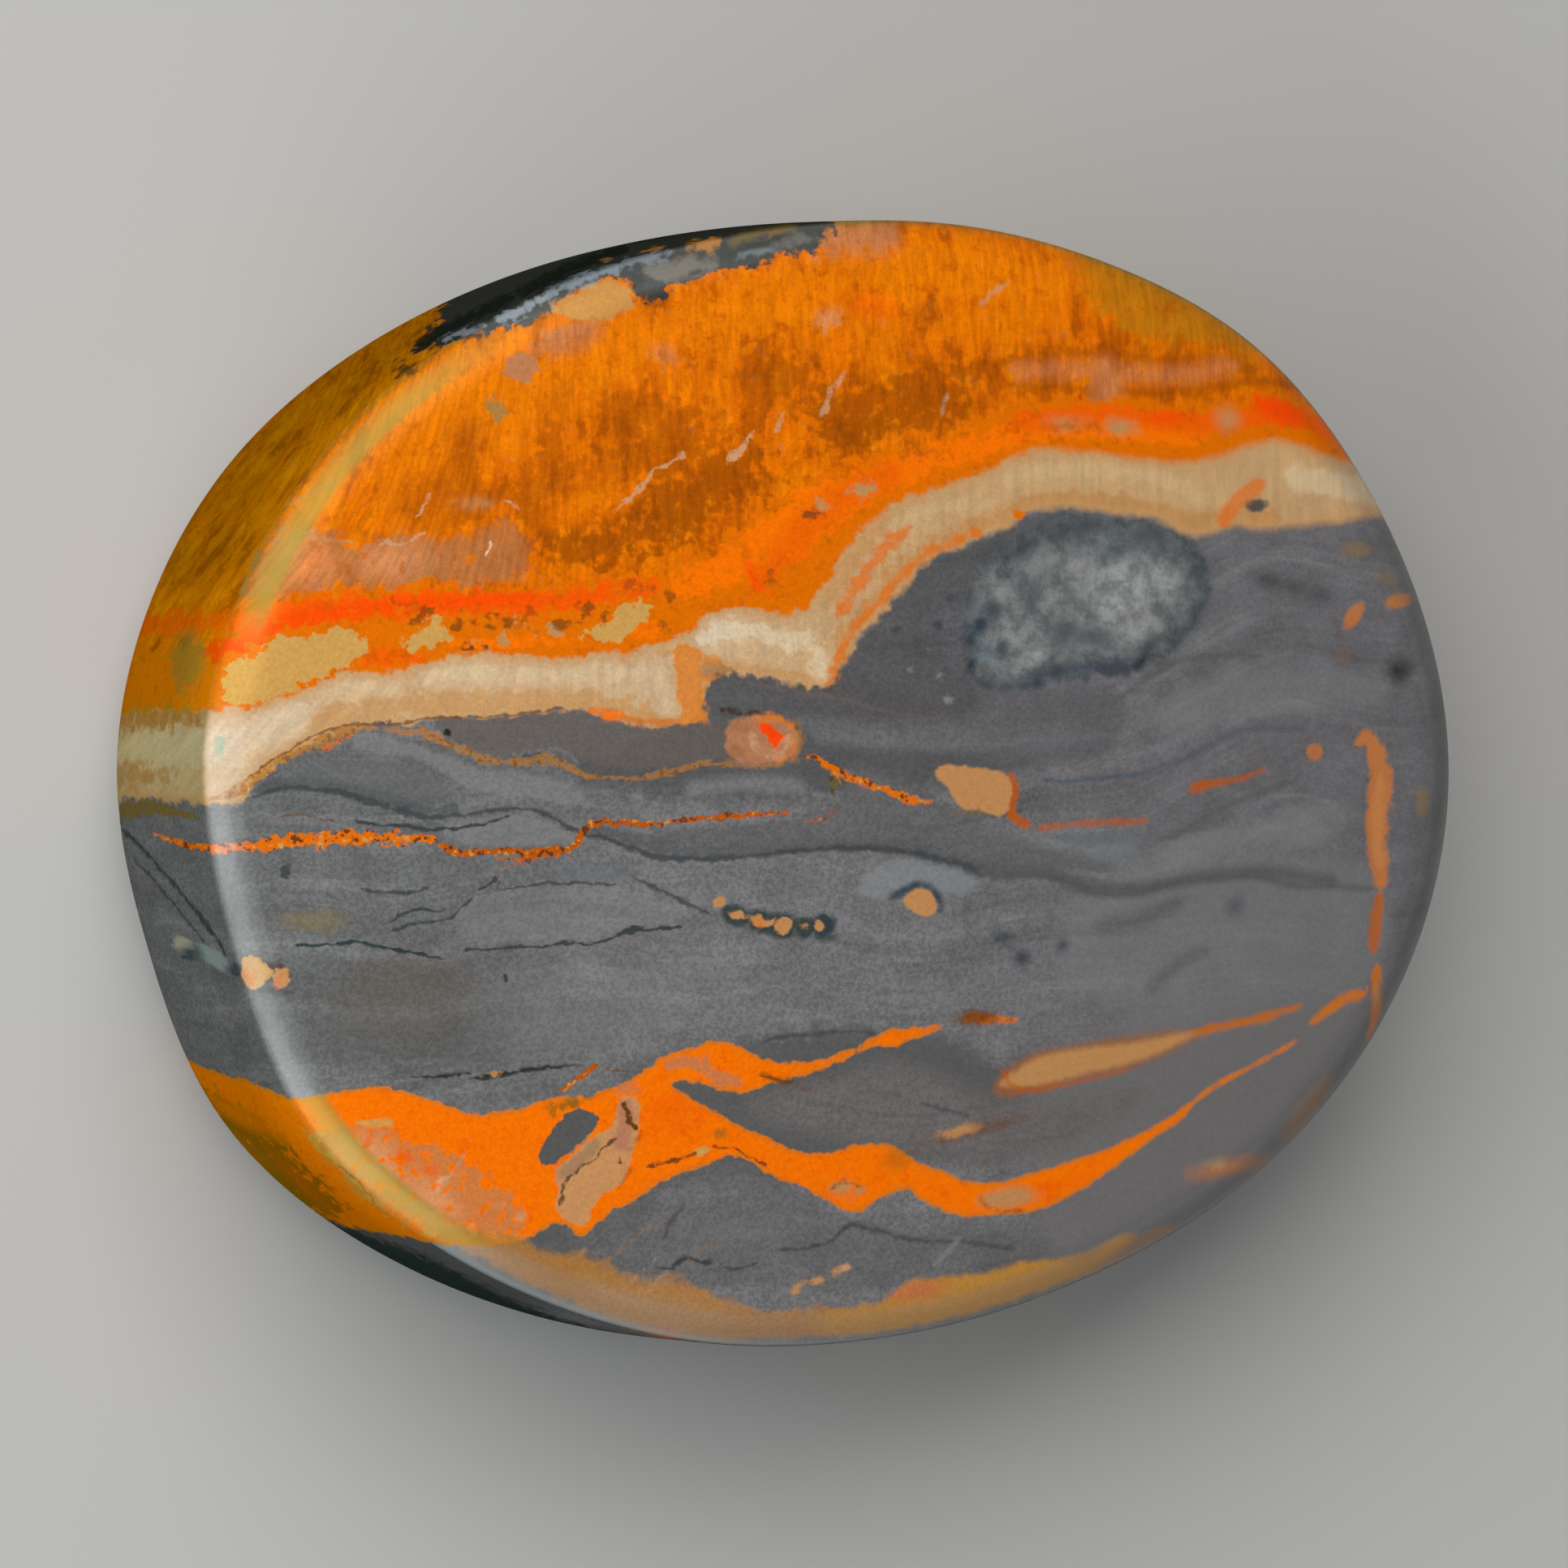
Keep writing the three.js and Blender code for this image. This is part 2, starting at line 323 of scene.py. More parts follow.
RED_STREAKS = [
    band(RED_ORANGE, [(-40, 7.4), (-28.6, 7.2), (-26, 8), (-21.4, 8), (-19.6, 8.2), (-17.6, 8), (-15.6, 8),
        (-9.8, 8.9)], 0.45, 0.5, 0.9),
    band(RED_DEEP, [(-30, 6), (-28.6, 6.4), (-27.4, 7.1), (-26, 7.6), (-24.4, 7.8), (-20, 8.2),
        (-15.5, 8.3)], 0.34, 0.4, 0.95),
    band(RED_DEEP, [(-16, 8.2), (-14.6, 8.1), (-12, 8.7)], 0.2, 0.4, 0.7),
    patch(ORANGE_HOT, [(-9, 8.2), (-6, 9), (-2.2, 10.6), (-0.8, 12), (2, 13.6), (9, 15.8), (13, 15.8),
        (17, 15.4), (18, 16.2), (14, 17), (9, 16.8), (-1, 14), (-4, 12.4), (-6.4, 10.6),
        (-9, 9.4)], 0.5, 0.95),
    band(RED_ORANGE, [(-4.6, 9.2), (-3.4, 10.6), (-2, 12), (-0.4, 13.2), (1.8, 14.2)], 0.5, 0.7, 0.75),
    band(RED_ORANGE, [(8, 16.5), (11, 16.9), (14, 16.9), (17, 16.5), (20, 17), (22.4, 17), (24.6, 16.2),
        (40, 16)], 0.45, 0.5, 0.9),
    *spots(RED_DEEP, (21.4, 17.2, 1.3, 0.5, -15, 0.4), (15.6, 16.8, 0.8, 0.25, 0, 0.3, 0.8)),
    band(RED_DEEP, [(-5.3, 10), (-4.7, 8.8)], 0.15, 0.25, 0.8),
    spot(RED_ORANGE, -22, 5.75, 1.2, 0.4, 0, 0.3),
    *spots(ORANGE_HOT, (-16.5, 6.4, 2.6, 0.3, 0, 0.3, 0.8), (-10.4, 7, 1, 0.4, 0, 0.3, 0.8)),
]
BROWN_SPECKS = [
    *spots(BROWN, (-20.6, 7.6, 0.5, 0.24, 35, 0.14, 0.7), (-18.9, 7.2, 0.26, 0.3, 0, 0.12, 0.7),
        (-17, 7.25, 0.6, 0.2, 0, 0.14, 0.7), (-14, 7.3, 0.3, 0.14, 0, 0.12, 0.7),
        (-12.8, 8, 0.55, 0.2, 20, 0.14, 0.7), (-12.2, 7.6, 0.22, 0.22, 0, 0.12, 0.7),
        (-9.2, 7.05, 0.25, 0.12, 0, 0.12, 0.6), (-8.9, 8.4, 0.2, 0.16, 0, 0.12, 0.6),
        (-8, 8.6, 0.18, 0.18, 0, 0.12, 0.6), (-15.4, 7.7, 0.4, 0.16, 0, 0.14, 0.5),
        (-16, 7.6, 0.3, 0.12, 0, 0.12, 0.5), (-21.2, 8.1, 0.3, 0.16, 0, 0.14, 0.5),
        (-10.6, 8.9, 0.3, 0.14, 0, 0.14, 0.5), (-4.2, 9.4, 0.2, 0.14, 0, 0.12, 0.5),
        (10.2, 16.3, 1, 0.12, 4, 0.15, 0.5), (3.2, 15, 0.4, 0.14, 0, 0.15, 0.5)),
    *spots(BROWN_DARK, (-18.7, 6.15, 0.35, 0.08, 0, 0.08, 0.8), (-2.4, 12.3, 0.28, 0.16, 0, 0.12, 0.7),
        (-21, 18.7, 0.4, 0.3, 0, 0.3, 0.8)),
    spot(BLACK_GREEN, -18.2, 20.6, 0.35, 0.25, 0, 0.15),
]
TAN_PATCHES = [
    patch(TAN_PALE, [(-29.5, 4.4), (-29.3, 5.6), (-28, 5.7), (-26.9, 6.9), (-26.4, 6.8), (-26, 6.5),
        (-25.2, 6.7), (-24.4, 7.2), (-23, 6.4), (-22.9, 6), (-23.4, 5.7), (-23.7, 5.2), (-24.7, 5.1),
        (-25.5, 4.8), (-26.3, 4.2), (-27, 3.9), (-29.4, 3.6)]),
    patch(TAN_PALE, [(-21.7, 6.3), (-20.8, 6.6), (-20, 7.7), (-19.6, 7.4), (-19.3, 6.7), (-19.5, 6.2),
        (-21, 5.9)]),
    patch(TAN_PALE, [(-13.2, 6.9), (-11.5, 7.7), (-11, 8.2), (-10.4, 8.2), (-9.8, 8), (-9.9, 7.6),
        (-10.9, 6.9), (-11.2, 6.5), (-12, 6.4), (-13, 6.6)]),
    patch(PINK, [(-16.5, 18.7), (-16.2, 19.3), (-15.4, 19.4), (-14.9, 18.9), (-15.1, 18.2), (-15.8, 18),
        (-16.4, 18.2)], 0.1),
    *spots(TAN, (-16.2, 7.3, 0.35, 0.22), (-14.6, 6.9, 0.5, 0.22), (-16.8, 6.6, 0.45, 0.14),
        (-18.2, 6.6, 0.3, 0.14), (0.4, 13.4, 0.55, 0.32, 0, 0.12), (-1.65, 12.7, 0.28, 0.32, 0, 0.12),
        (13.2, 16.4, 0.7, 0.36, 0, 0.15), (18.7, 16.8, 0.55, 0.5, 0, 0.2, 0.9),
        (10.5, 16.5, 0.7, 0.26, 0, 0.2, 0.7)),
    spot(rgb(140, 112, 62), -31.2, 5.5, 0.8, 1.3, 0, 0.3, 0.65),
    spot(rgb(172, 122, 60), -16.9, 16.9, 0.38, 0.54, 0, 0.1),
]

# Broad patches of lighter, darker, redder and pinker rock inside the calcite, and painted shade near the
# upper right and upper left rims.
CALCITE_TINTS_AND_SHADE = [
    # Painted shade: darker, browner calcite near the upper right rim.
    patch(rgb(184, 118, 16), [(13, 21), (16, 20.4), (24, 19.6), (40, 20), (40, 30), (14, 26),
        (11, 23.5)], 1.2, 0.8),
    *spots(ORANGE_BRIGHT, (-17, 17.4, 4.4, 1.7, 10, 1.2, 0.85), (-20.6, 13.6, 2.2, 2.2, -40, 1, 0.6),
        (-11, 20, 2.6, 1.2, 10, 1, 0.7), (-4.4, 21.6, 4.2, 1.5, 18, 1.2, 0.8),
        (6, 23.4, 4.4, 1.4, -6, 1.2, 0.8), (1.2, 21, 1.2, 2, 0, 0.9, 0.5), (6, 20.8, 2.4, 0.6, 0, 0.8, 0.5)),
    *spots(AMBER_DARK, (-14.6, 14.6, 0.5, 1.8, -10, 0.9, 0.5), (-9, 15.6, 2.6, 1.6, 0, 1.3, 0.5),
        (-13, 10.8, 2.4, 0.9, 0, 0.9, 0.7), (-9, 12.2, 1.8, 1.4, 20, 1.2, 0.75),
        (-6.2, 13.6, 2, 1.1, 30, 1.1, 0.7), (-11, 16.9, 1.2, 0.8, 0, 0.8, 0.45)),
    *spots(AMBER_DARK, (-19.4, 12.7, 2, 1.1, 0, 1, 0.4), (-13.6, 13.8, 2.4, 0.8, 10, 0.9, 0.4)),
    spot(ORANGE, -13.4, 12.2, 1.6, 0.5, 10, 0.5, 0.9),
    spot(ORANGE_BRIGHT, -12.2, 12.9, 1.2, 0.45, 10, 0.4, 0.8),
    *spots(AMBER_DARK, (-15.6, 12.6, 0.7, 0.9, 0, 0.7, 0.5), (-18.4, 14.2, 0.7, 1.6, 0, 0.8, 0.55),
        (-0.3, 16.6, 1.7, 1.4, 0, 1.2, 0.7), (3.2, 17.4, 2.4, 1.3, 0, 1.2, 0.7),
        (-3.4, 18.4, 1.4, 1, 0, 1.1, 0.5)),
    spot(RED_DEEP, 1.2, 21.8, 0.7, 0.4, 0, 0.7, 0.35),
    band(AMBER_DARK, [(4, 18.4), (8, 19.5), (12, 19.9), (15, 19.5), (20, 19.2)], 0.3, 0.8, 0.6),
    band(AMBER_DARK, [(8, 18.2), (16, 17.9), (20, 18.7), (24, 18.3)], 0.25, 0.6, 0.55),
    band(PINK, [(8, 18.9), (12, 19), (16, 18.7), (19, 19.3)], 0.3, 0.5, 0.5),
    patch(PINK, [(11.8, 17.6), (12, 19), (12.6, 19.6), (13.2, 19), (13.3, 17.8), (12.6, 17.4)], 0.7, 0.7),
    patch(PINK, [(-2, 24), (0, 24.4), (2.2, 24.2), (3, 26), (-1, 26)], 0.7, 0.8),
    patch(PINK, [(-9.8, 19.6), (-8.8, 19.8), (-8.2, 19), (-9, 18.8)], 0.5, 0.5),
    patch(PINK, [(-15.4, 19.8), (-13.4, 20.9), (-11.6, 20.8), (-12.6, 19.8), (-14.4, 19.3)], 0.6, 0.7),
    patch(PINK_PALE, [(-1.6, 21.2), (-0.8, 21.6), (-0.4, 20.8), (-1.2, 20.5)], 0.5, 0.5),
    patch(rgb(176, 110, 62), [(-29.4, 8), (-26.8, 12), (-23.8, 10.9), (-23.3, 10.4), (-22.4, 11), (-21, 11.3),
        (-19.6, 10.8), (-18.8, 11.1), (-17.8, 11.2), (-16.6, 11.9), (-16.1, 11.5), (-15.7, 10.9),
        (-15.5, 10.2), (-15.6, 9.2), (-19, 8.9), (-20.2, 9.5), (-21, 9), (-22.4, 8.7), (-24, 9.1),
        (-25.5, 8.6)], 0.5, 0.85),
    *spots(PINK_PALE, (-21.6, 10, 1.4, 0.6, 0, 0.7, 0.6), (-25.6, 10, 0.8, 1, 30, 0.8, 0.4)),
    spot(TAN, -18, 12.6, 0.8, 0.24, 0, 0.3, 0.7),
    # Painted shade: darker ochre over the upper left rim and side.
    patch(OCHRE_DARK, [(-40, 13), (-34, 12), (-26, 20), (-20, 24.5), (-20, 30), (-40, 30)], 1.8, 0.6),
]
WISPS = [
    line(PINK_PALE, [(-8.2, 14.9, 0.12), (-9, 14.4, 0.08), (-9.7, 14.1, 0.08), (-10.6, 13.1, 0.15),
        (-11.1, 12.7, 0.1), (-11.4, 12.3, 0.04)], 0.1, 0.9),
    line(PINK_PALE, [(-0.4, 18.7, 0.1), (-0.9, 18.2, 0.15), (-1.1, 17.6, 0.1), (-1.4, 16.9, 0.15),
        (-1.6, 16.6, 0.05)], 0.1, 0.8),
    line(PINK_PALE, [(-4.9, 16, 0.1), (-5.2, 15.4, 0.12), (-5.8, 14.9, 0.22), (-6.1, 14.7, 0.1)]),
    line(PINK_PALE, [(-3.4, 16.8), (-3.8, 16)], 0.12, 0.7),
    line(PINK_PALE, [(-20.1, 13, 0.1), (-20.7, 12, 0.05)]),
    line(PINK_PALE, [(-22.4, 10.7), (-22.2, 11), (-21.5, 10.7), (-20.3, 11.3)], 0.07),
    line(WHITE, [(-17.3, 10.9), (-17.5, 10.3)], 0.07),
    line(PINK_PALE, [(-16.6, 12.8), (-16, 12.4)], 0.06),
    line(PINK_PALE, [(4.6, 17.7), (4.3, 16.9)], 0.12, 0.7),
    line(PINK_PALE, [(7.8, 23, 0.1), (6.4, 22, 0.14)], 0.1, 0.7),
    line(TAN, [(-26.6, 12.4), (-24.4, 13.6)], 0.08, 0.6),
    line(TAN, [(-26.2, 11.3), (-23.5, 10.7)], 0.08, 0.7),
]

# Dark vein at the upper left, with a pale blue streak along its lower side.
TOP_VEIN = [
    patch(rgb(48, 50, 45), [(-20.8, 19.4), (-19.5, 19.7), (-18.5, 19.8), (-17, 20.2), (-15, 21),
        (-14.3, 21.6), (-12, 22.7), (-11, 22.9), (-10.4, 22.6), (-10.2, 22), (-9.6, 21.5), (-8.5, 22.5),
        (-7.5, 22.8), (-6.5, 23.2), (-2, 24.2), (-1.2, 24.5), (-0.8, 25), (-0.5, 25.6), (-0.2, 27), (2, 40),
        (-18, 40), (-18, 24.5), (-18.9, 22.6), (-19.5, 20.8)], 0.12),
]
TOP_VEIN_DETAIL = [
    patch(rgb(196, 138, 74), [(-14.4, 21.5), (-11.8, 22.7), (-10.8, 22.9), (-10.3, 22.4), (-10.4, 21.6),
        (-10.8, 21.2), (-12, 20.9), (-13.5, 21)], 0.15),
    patch(rgb(116, 108, 98), [(-9.9, 23.3), (-8, 23.8), (-6, 24), (-6, 23.6), (-7.5, 23), (-9, 22.6)], 0.2),
    band(rgb(141, 151, 160), [(-16.6, 20.9), (-14.6, 21.8)], 0.22, 0.12, 0.9),
    band(rgb(127, 138, 148), [(-14.2, 22.2), (-12.2, 23), (-11, 23.3)], 0.24, 0.14, 0.9),
    band(rgb(124, 134, 142), [(-10.6, 23.6), (-8.5, 24.1)], 0.2, 0.14, 0.8),
    band(rgb(128, 138, 146), [(-19.2, 20.1), (-17.2, 20.7)], 0.16, 0.1, 0.85),
    band(rgb(24, 30, 22), [(-20.4, 19.9), (-16, 22.1)], 0.3, 0.15, 0.9),
    band(rgb(24, 30, 24), [(-15.4, 22.3), (-13.6, 23.3), (-10.4, 24.6)], 0.34, 0.2, 0.9),
    band(OLIVE, [(-5.5, 24.6), (-4.2, 25.1), (-2.4, 25.4)], 0.2, 0.2, 0.8),
    band(rgb(34, 40, 28), [(-6, 23.9), (-3, 24.9)], 0.16, 0.15, 0.9),
    patch(rgb(20, 26, 26), [(-22, 23.4), (0, 26.6), (4, 40), (-30, 40)], 0.6),
    spot(rgb(118, 126, 130), -4.6, 24.2, 1.1, 0.22, 10, 0.15, 0.8),
    spot(rgb(104, 98, 90), -2.6, 24.7, 0.9, 0.24, 14, 0.15, 0.9),
    spot(rgb(28, 34, 24), -10.1, 22.4, 0.3, 0.5, 0, 0.12, 0.9),
    spot(rgb(34, 40, 28), -7.6, 23.2, 0.6, 0.2, 10, 0.12, 0.8),
    *spots(rgb(30, 36, 26), (-15.2, 20.9, 0.5, 0.14, 20, 0.1, 0.8), (-17.6, 20.2, 0.4, 0.12, 15, 0.1, 0.8)),
    *spots(OCHRE, (-6.8, 24.5, 0.8, 0.3, 10, 0.15), (-11.4, 24, 0.5, 0.2, 20, 0.15, 0.6),
        (-9.2, 24.3, 0.4, 0.14, 20, 0.1, 0.7)),
    spot(OCHRE_DARK, -3.4, 25.1, 0.7, 0.2, 14, 0.15, 0.8),
]

# Paler and darker lenses in the grey rock below the cream band.
GREY_LENSES = [
    patch(PURPLE_GREY, [(-20.3, 2.9), (-19, 3.1), (-18, 2.9), (-16.5, 3.2), (-13.5, 3.5), (-11.6, 2.9),
        (-10.5, 2.7), (-6.3, 2.8), (-6.2, 1.8), (-6.3, 1), (-10, 0.7), (-12, 0.8), (-14, 1.6), (-15, 1.7),
        (-16, 1.4), (-17, 1.3), (-18, 1.4), (-18.6, 1.9), (-19.4, 2.2)], 0.1, 0.85),
    patch(GREY_PALE, [(-19.8, -1.9), (-18.5, -1.5), (-15.8, -1.3), (-13.6, -2.1), (-13.2, -2.4),
        (-13.8, -2.7), (-19, -2.8)], 0.1, 0.45),
    patch(GREY_PALE, [(-19, -5.3), (-17.5, -4.9), (-15.5, -4.6), (-13, -4.5), (-11, -4.6), (-8.4, -5.6),
        (-7.8, -6), (-11, -6.5), (-12.5, -7), (-17.5, -7.1), (-19, -6.9)], 0.14, 0.35),
    patch(rgb(130, 134, 137), [(-0.1, -4.9), (0.2, -4.3), (0.9, -3.8), (1.8, -3.5), (2.8, -3.5), (5.2, -4.1),
        (5.9, -4.5), (5.6, -5), (4.6, -5.1), (3.2, -4.6), (2.4, -4.8), (1.8, -5.3), (0.2, -5.2)], 0.16, 0.75),
    patch(GREY_PALE, [(14.5, 3), (16, 4.3), (18, 5), (20, 5.3), (27, 5), (27, 3.7), (20, 3.2),
        (16, 2.1)], 0.25, 0.35),
]
# Soft lighter and darker zones of the grey rock.
GREY_SHADES = [
    patch(rgb(76, 76, 78), [(-11, 5), (-6, 5.4), (6, 5.4), (9, 3), (9, 1), (4, -0.4), (-8, -0.8), (-14, 0),
        (-14, 1.6), (-8, 2)], 1.6, 0.75),
    patch(rgb(84, 83, 86), [(6.6, 4.4), (12, 4.8), (13.4, 3.8), (13, 2), (12, 1), (7, 0.8),
        (5.6, 2.6)], 1.0, 0.55),
    patch(GREY_LOW, [(-12, -13), (-6, -11.6), (0, -11), (5, -11.6), (9, -14.4), (8, -17), (2, -17), (-6, -18),
        (-12, -24), (-40, -28), (-40, -20), (-16, -20)], 1.4, 0.9),
    patch(GREY_WARM, [(8, -14), (14, -10.6), (22, -9.6), (30, -8), (30, -26), (10, -24), (9, -18)], 1.8, 0.9),
    patch(rgb(120, 119, 121), [(10, -5.8), (13, -4.6), (18, -3.8), (27, -3.4), (27, -9.4), (22, -9.6),
        (17, -10.8), (13, -10.8), (9.5, -9)], 1.6, 0.6),
    patch(GREY_PALE, [(-23.8, 2.4), (-22.8, 2.4), (-19.4, 1.4), (-18.5, 0.9), (-17.5, 0.6), (-16, 0.6),
        (-14.5, 0.3), (-13.5, -0.1), (-12.8, -0.5), (-13.5, -1), (-15, -0.6), (-18.5, -0.3), (-19.5, 0.6),
        (-21, 1.3), (-22.5, 1.3), (-23.6, 1.6)], 0.35, 0.55),
    band(GREY_PALE, [(-8, -0.2), (-5.4, 0.1), (-2.8, -0.1)], 0.2, 0.4, 0.4),
    patch(GREY_LEFT, [(-26, 1), (-23.6, 1.2), (-21, 1), (-18.8, -0.4), (-21, -0.8), (-26.4, 0.1)], 0.4, 0.6),
    spot(GREY_DARK, -19, -10.4, 6, 2, 0, 2, 0.5), spot(rgb(98, 88, 78), -21.4, -9.2, 2.4, 1.6, 0, 1.6, 0.5),
    spot(GREY_PALE, -11.6, -9.6, 4.4, 1.6, 8, 1.8, 0.25), spot(BLUE_GREY, -12.6, -4, 1.6, 0.35, 0, 0.35, 0.7),
    band(rgb(132, 138, 143), [(2.2, -1.3), (5, -2)], 0.22, 0.35, 0.8),
    band(rgb(128, 133, 138), [(5.6, -2.2), (6.6, -2.3), (8, -2.8), (10, -2.9)], 0.22, 0.45, 0.7),
    spot(rgb(122, 127, 132), 12.4, -3.2, 1.4, 0.4, 10, 0.6, 0.6),
    patch(GREY_DARK, [(-1, 1.2), (4, -1), (9, -3), (14, -4.2), (9, -4), (3, -3), (-2, -2.6), (-8, -3),
        (-12, -2.2), (-3, -1.8), (0, -0.6)], 0.5, 0.5),
    patch(rgb(72, 69, 69), [(-6.6, 4.9), (-1.6, 4.3), (0, 6), (3, 9.8), (5, 10.6), (6, 9.2), (5, 6.8),
        (4.6, 4.6), (6, 3.6), (4, 2.4), (1, 2.6), (-6, 4.1)], 0.6, 0.7),
    patch(rgb(74, 73, 75), [(-0.6, 4.6), (0.4, 6.6), (2, 8.6), (4, 10.2), (6, 11.2), (9, 12.4), (12, 12.2),
        (10, 10.6), (6.6, 9.8), (5.4, 7), (5, 4.4), (2.6, 3.8)], 0.8, 0.7),
    patch(GREY_DARK, [(-4, 3.2), (2, 2.5), (11, 3.3), (13, 3), (11, 2), (6, 1.6), (2, 1.6),
        (-1.6, 2)], 0.6, 0.4),
    band(BLUE_GREY, [(-2, 2.1), (3, 1.7), (8, 1.8), (12, 2.2)], 0.12, 0.4, 0.5),
    band(CRYSTAL_DARK, [(-28, -0.2), (-26, 0.2), (-24.5, 0), (-22.5, -0.5), (-20.4, -1.2),
        (-19, -1)], 0.22, 0.35, 0.7),
    band(CRYSTAL_DARK, [(-13, -2), (-11.3, -2.3), (-9.5, -3), (-8, -3.1), (1.5, -2.7), (4.5, -3.3), (7, -4.1),
        (9, -4), (12, -5), (14.5, -4.9), (17, -4.4), (20, -4.1), (24, -4.7)], 0.25, 0.35, 0.65),
    spot(rgb(56, 60, 66), 4.7, 6.8, 1.1, 1.7, 0, 0.9, 0.45),
    *spots(GREY_PALE, (17, -3, 2.2, 0.6, 15, 0.7, 0.5), (22.4, -2, 2.6, 0.9, 10, 0.8, 0.4)),
    spot(CRYSTAL, 13.7, -4, 0.8, 0.4, 0, 0.4, 0.4),
    band(GREY_PALE, [(12.6, -8.6), (14, -7.6), (16, -6.8), (18, -7)], 0.35, 0.8, 0.3),
    band(GREY_PALE, [(16.4, -9.6), (17.6, -9), (18.8, -8)], 0.3, 0.7, 0.3),
    band(GREY_DARK, [(12, -6.6), (14, -6.4), (16, -5.6)], 0.25, 0.5, 0.4),
    band(GREY_DARK, [(14.6, -9.6), (16, -8.4), (17.4, -7.8)], 0.18, 0.4, 0.4),
    patch(PURPLE_GREY, [(2.4, -12.6), (6, -14.4), (10, -15.2), (15, -14), (12, -16), (7, -17.8), (3.4, -16.9),
        (-1.4, -16), (-6, -14.4), (-2, -13.8)], 0.8, 0.5),
    patch(GREY_DARK, [(-9.4, -17.9), (-6, -17.2), (-2.6, -18.6), (0, -20), (4, -20.4), (9, -20.6), (10, -22),
        (2, -23.2), (-6, -23), (-11.4, -21.8), (-14, -20.4)], 0.8, 0.35),
    patch(GREY_DARK, [(-12.6, -19.8), (-11.6, -19), (-10.4, -18.6), (-9.2, -18), (-9.6, -19.6),
        (-11.2, -20.8), (-12.4, -20.8)], 0.5, 0.6),
    spot(GREY_RIGHT, -5, -20.3, 2.4, 1, 10, 0.8, 0.6),
]
# Cloudy crystal patch under the cream band.
DRUSE = [
    patch(rgb(88, 92, 95), [(5.1, 5), (6.3, 4.2), (8, 4.1), (11.4, 4.9), (13.4, 4.8), (15, 5.5), (16.5, 6.7),
        (17.6, 8.2), (17.6, 9.8), (16.6, 11.2), (15, 12), (12, 12.4), (9.4, 12.3), (7.4, 11.3), (6, 10.2),
        (5.2, 8.4)], 0.5, 0.9),
    patch(rgb(112, 115, 116), [(5.9, 5.6), (7, 5), (8.6, 4.9), (10, 5.6), (12.4, 5.8), (14.2, 6.2),
        (15.6, 7.2), (16.6, 8.8), (16.2, 10), (14.6, 10.9), (12.6, 11.4), (8.8, 10.8), (7.2, 10),
        (6.2, 8.6)], 0.8, 0.9),
    *spots(CRYSTAL, (10.6, 8.2, 2, 1.5, 0, 1, 0.8), (9.2, 10, 1.2, 0.6, 20, 0.6, 0.6),
        (7.4, 7.1, 0.9, 1.3, 0, 0.6, 0.8)),
    *spots(CRYSTAL_PALE, (13.2, 8.8, 1.4, 1.5, 0, 0.8, 0.8), (15, 9.4, 1, 0.6, -30, 0.5, 0.7),
        (13.8, 7.2, 1.1, 0.6, 10, 0.5, 0.6)),
    spot(CRYSTAL, 6.6, 8.9, 0.6, 0.7, 0, 0.4, 0.8),
    *spots(CRYSTAL_PALE, (8.6, 5.8, 0.8, 0.4, 40, 0.4, 0.7), (11.2, 10, 0.7, 0.5, 0, 0.4, 0.5)),
    *spots(rgb(84, 90, 96), (10.2, 6.7, 0.9, 0.6, 20, 0.5, 0.6), (8.4, 8.9, 0.6, 0.5, 0, 0.4, 0.5)),
    spot(rgb(86, 92, 98), 12, 6.6, 0.6, 0.4, 0, 0.4, 0.5), spot(BLUE_GREY, 12.2, 11, 1.5, 0.5, 0, 0.6, 0.7),
    spot(rgb(104, 122, 130), 6.3, 6, 0.4, 0.4, 0, 0.3, 0.6),
]
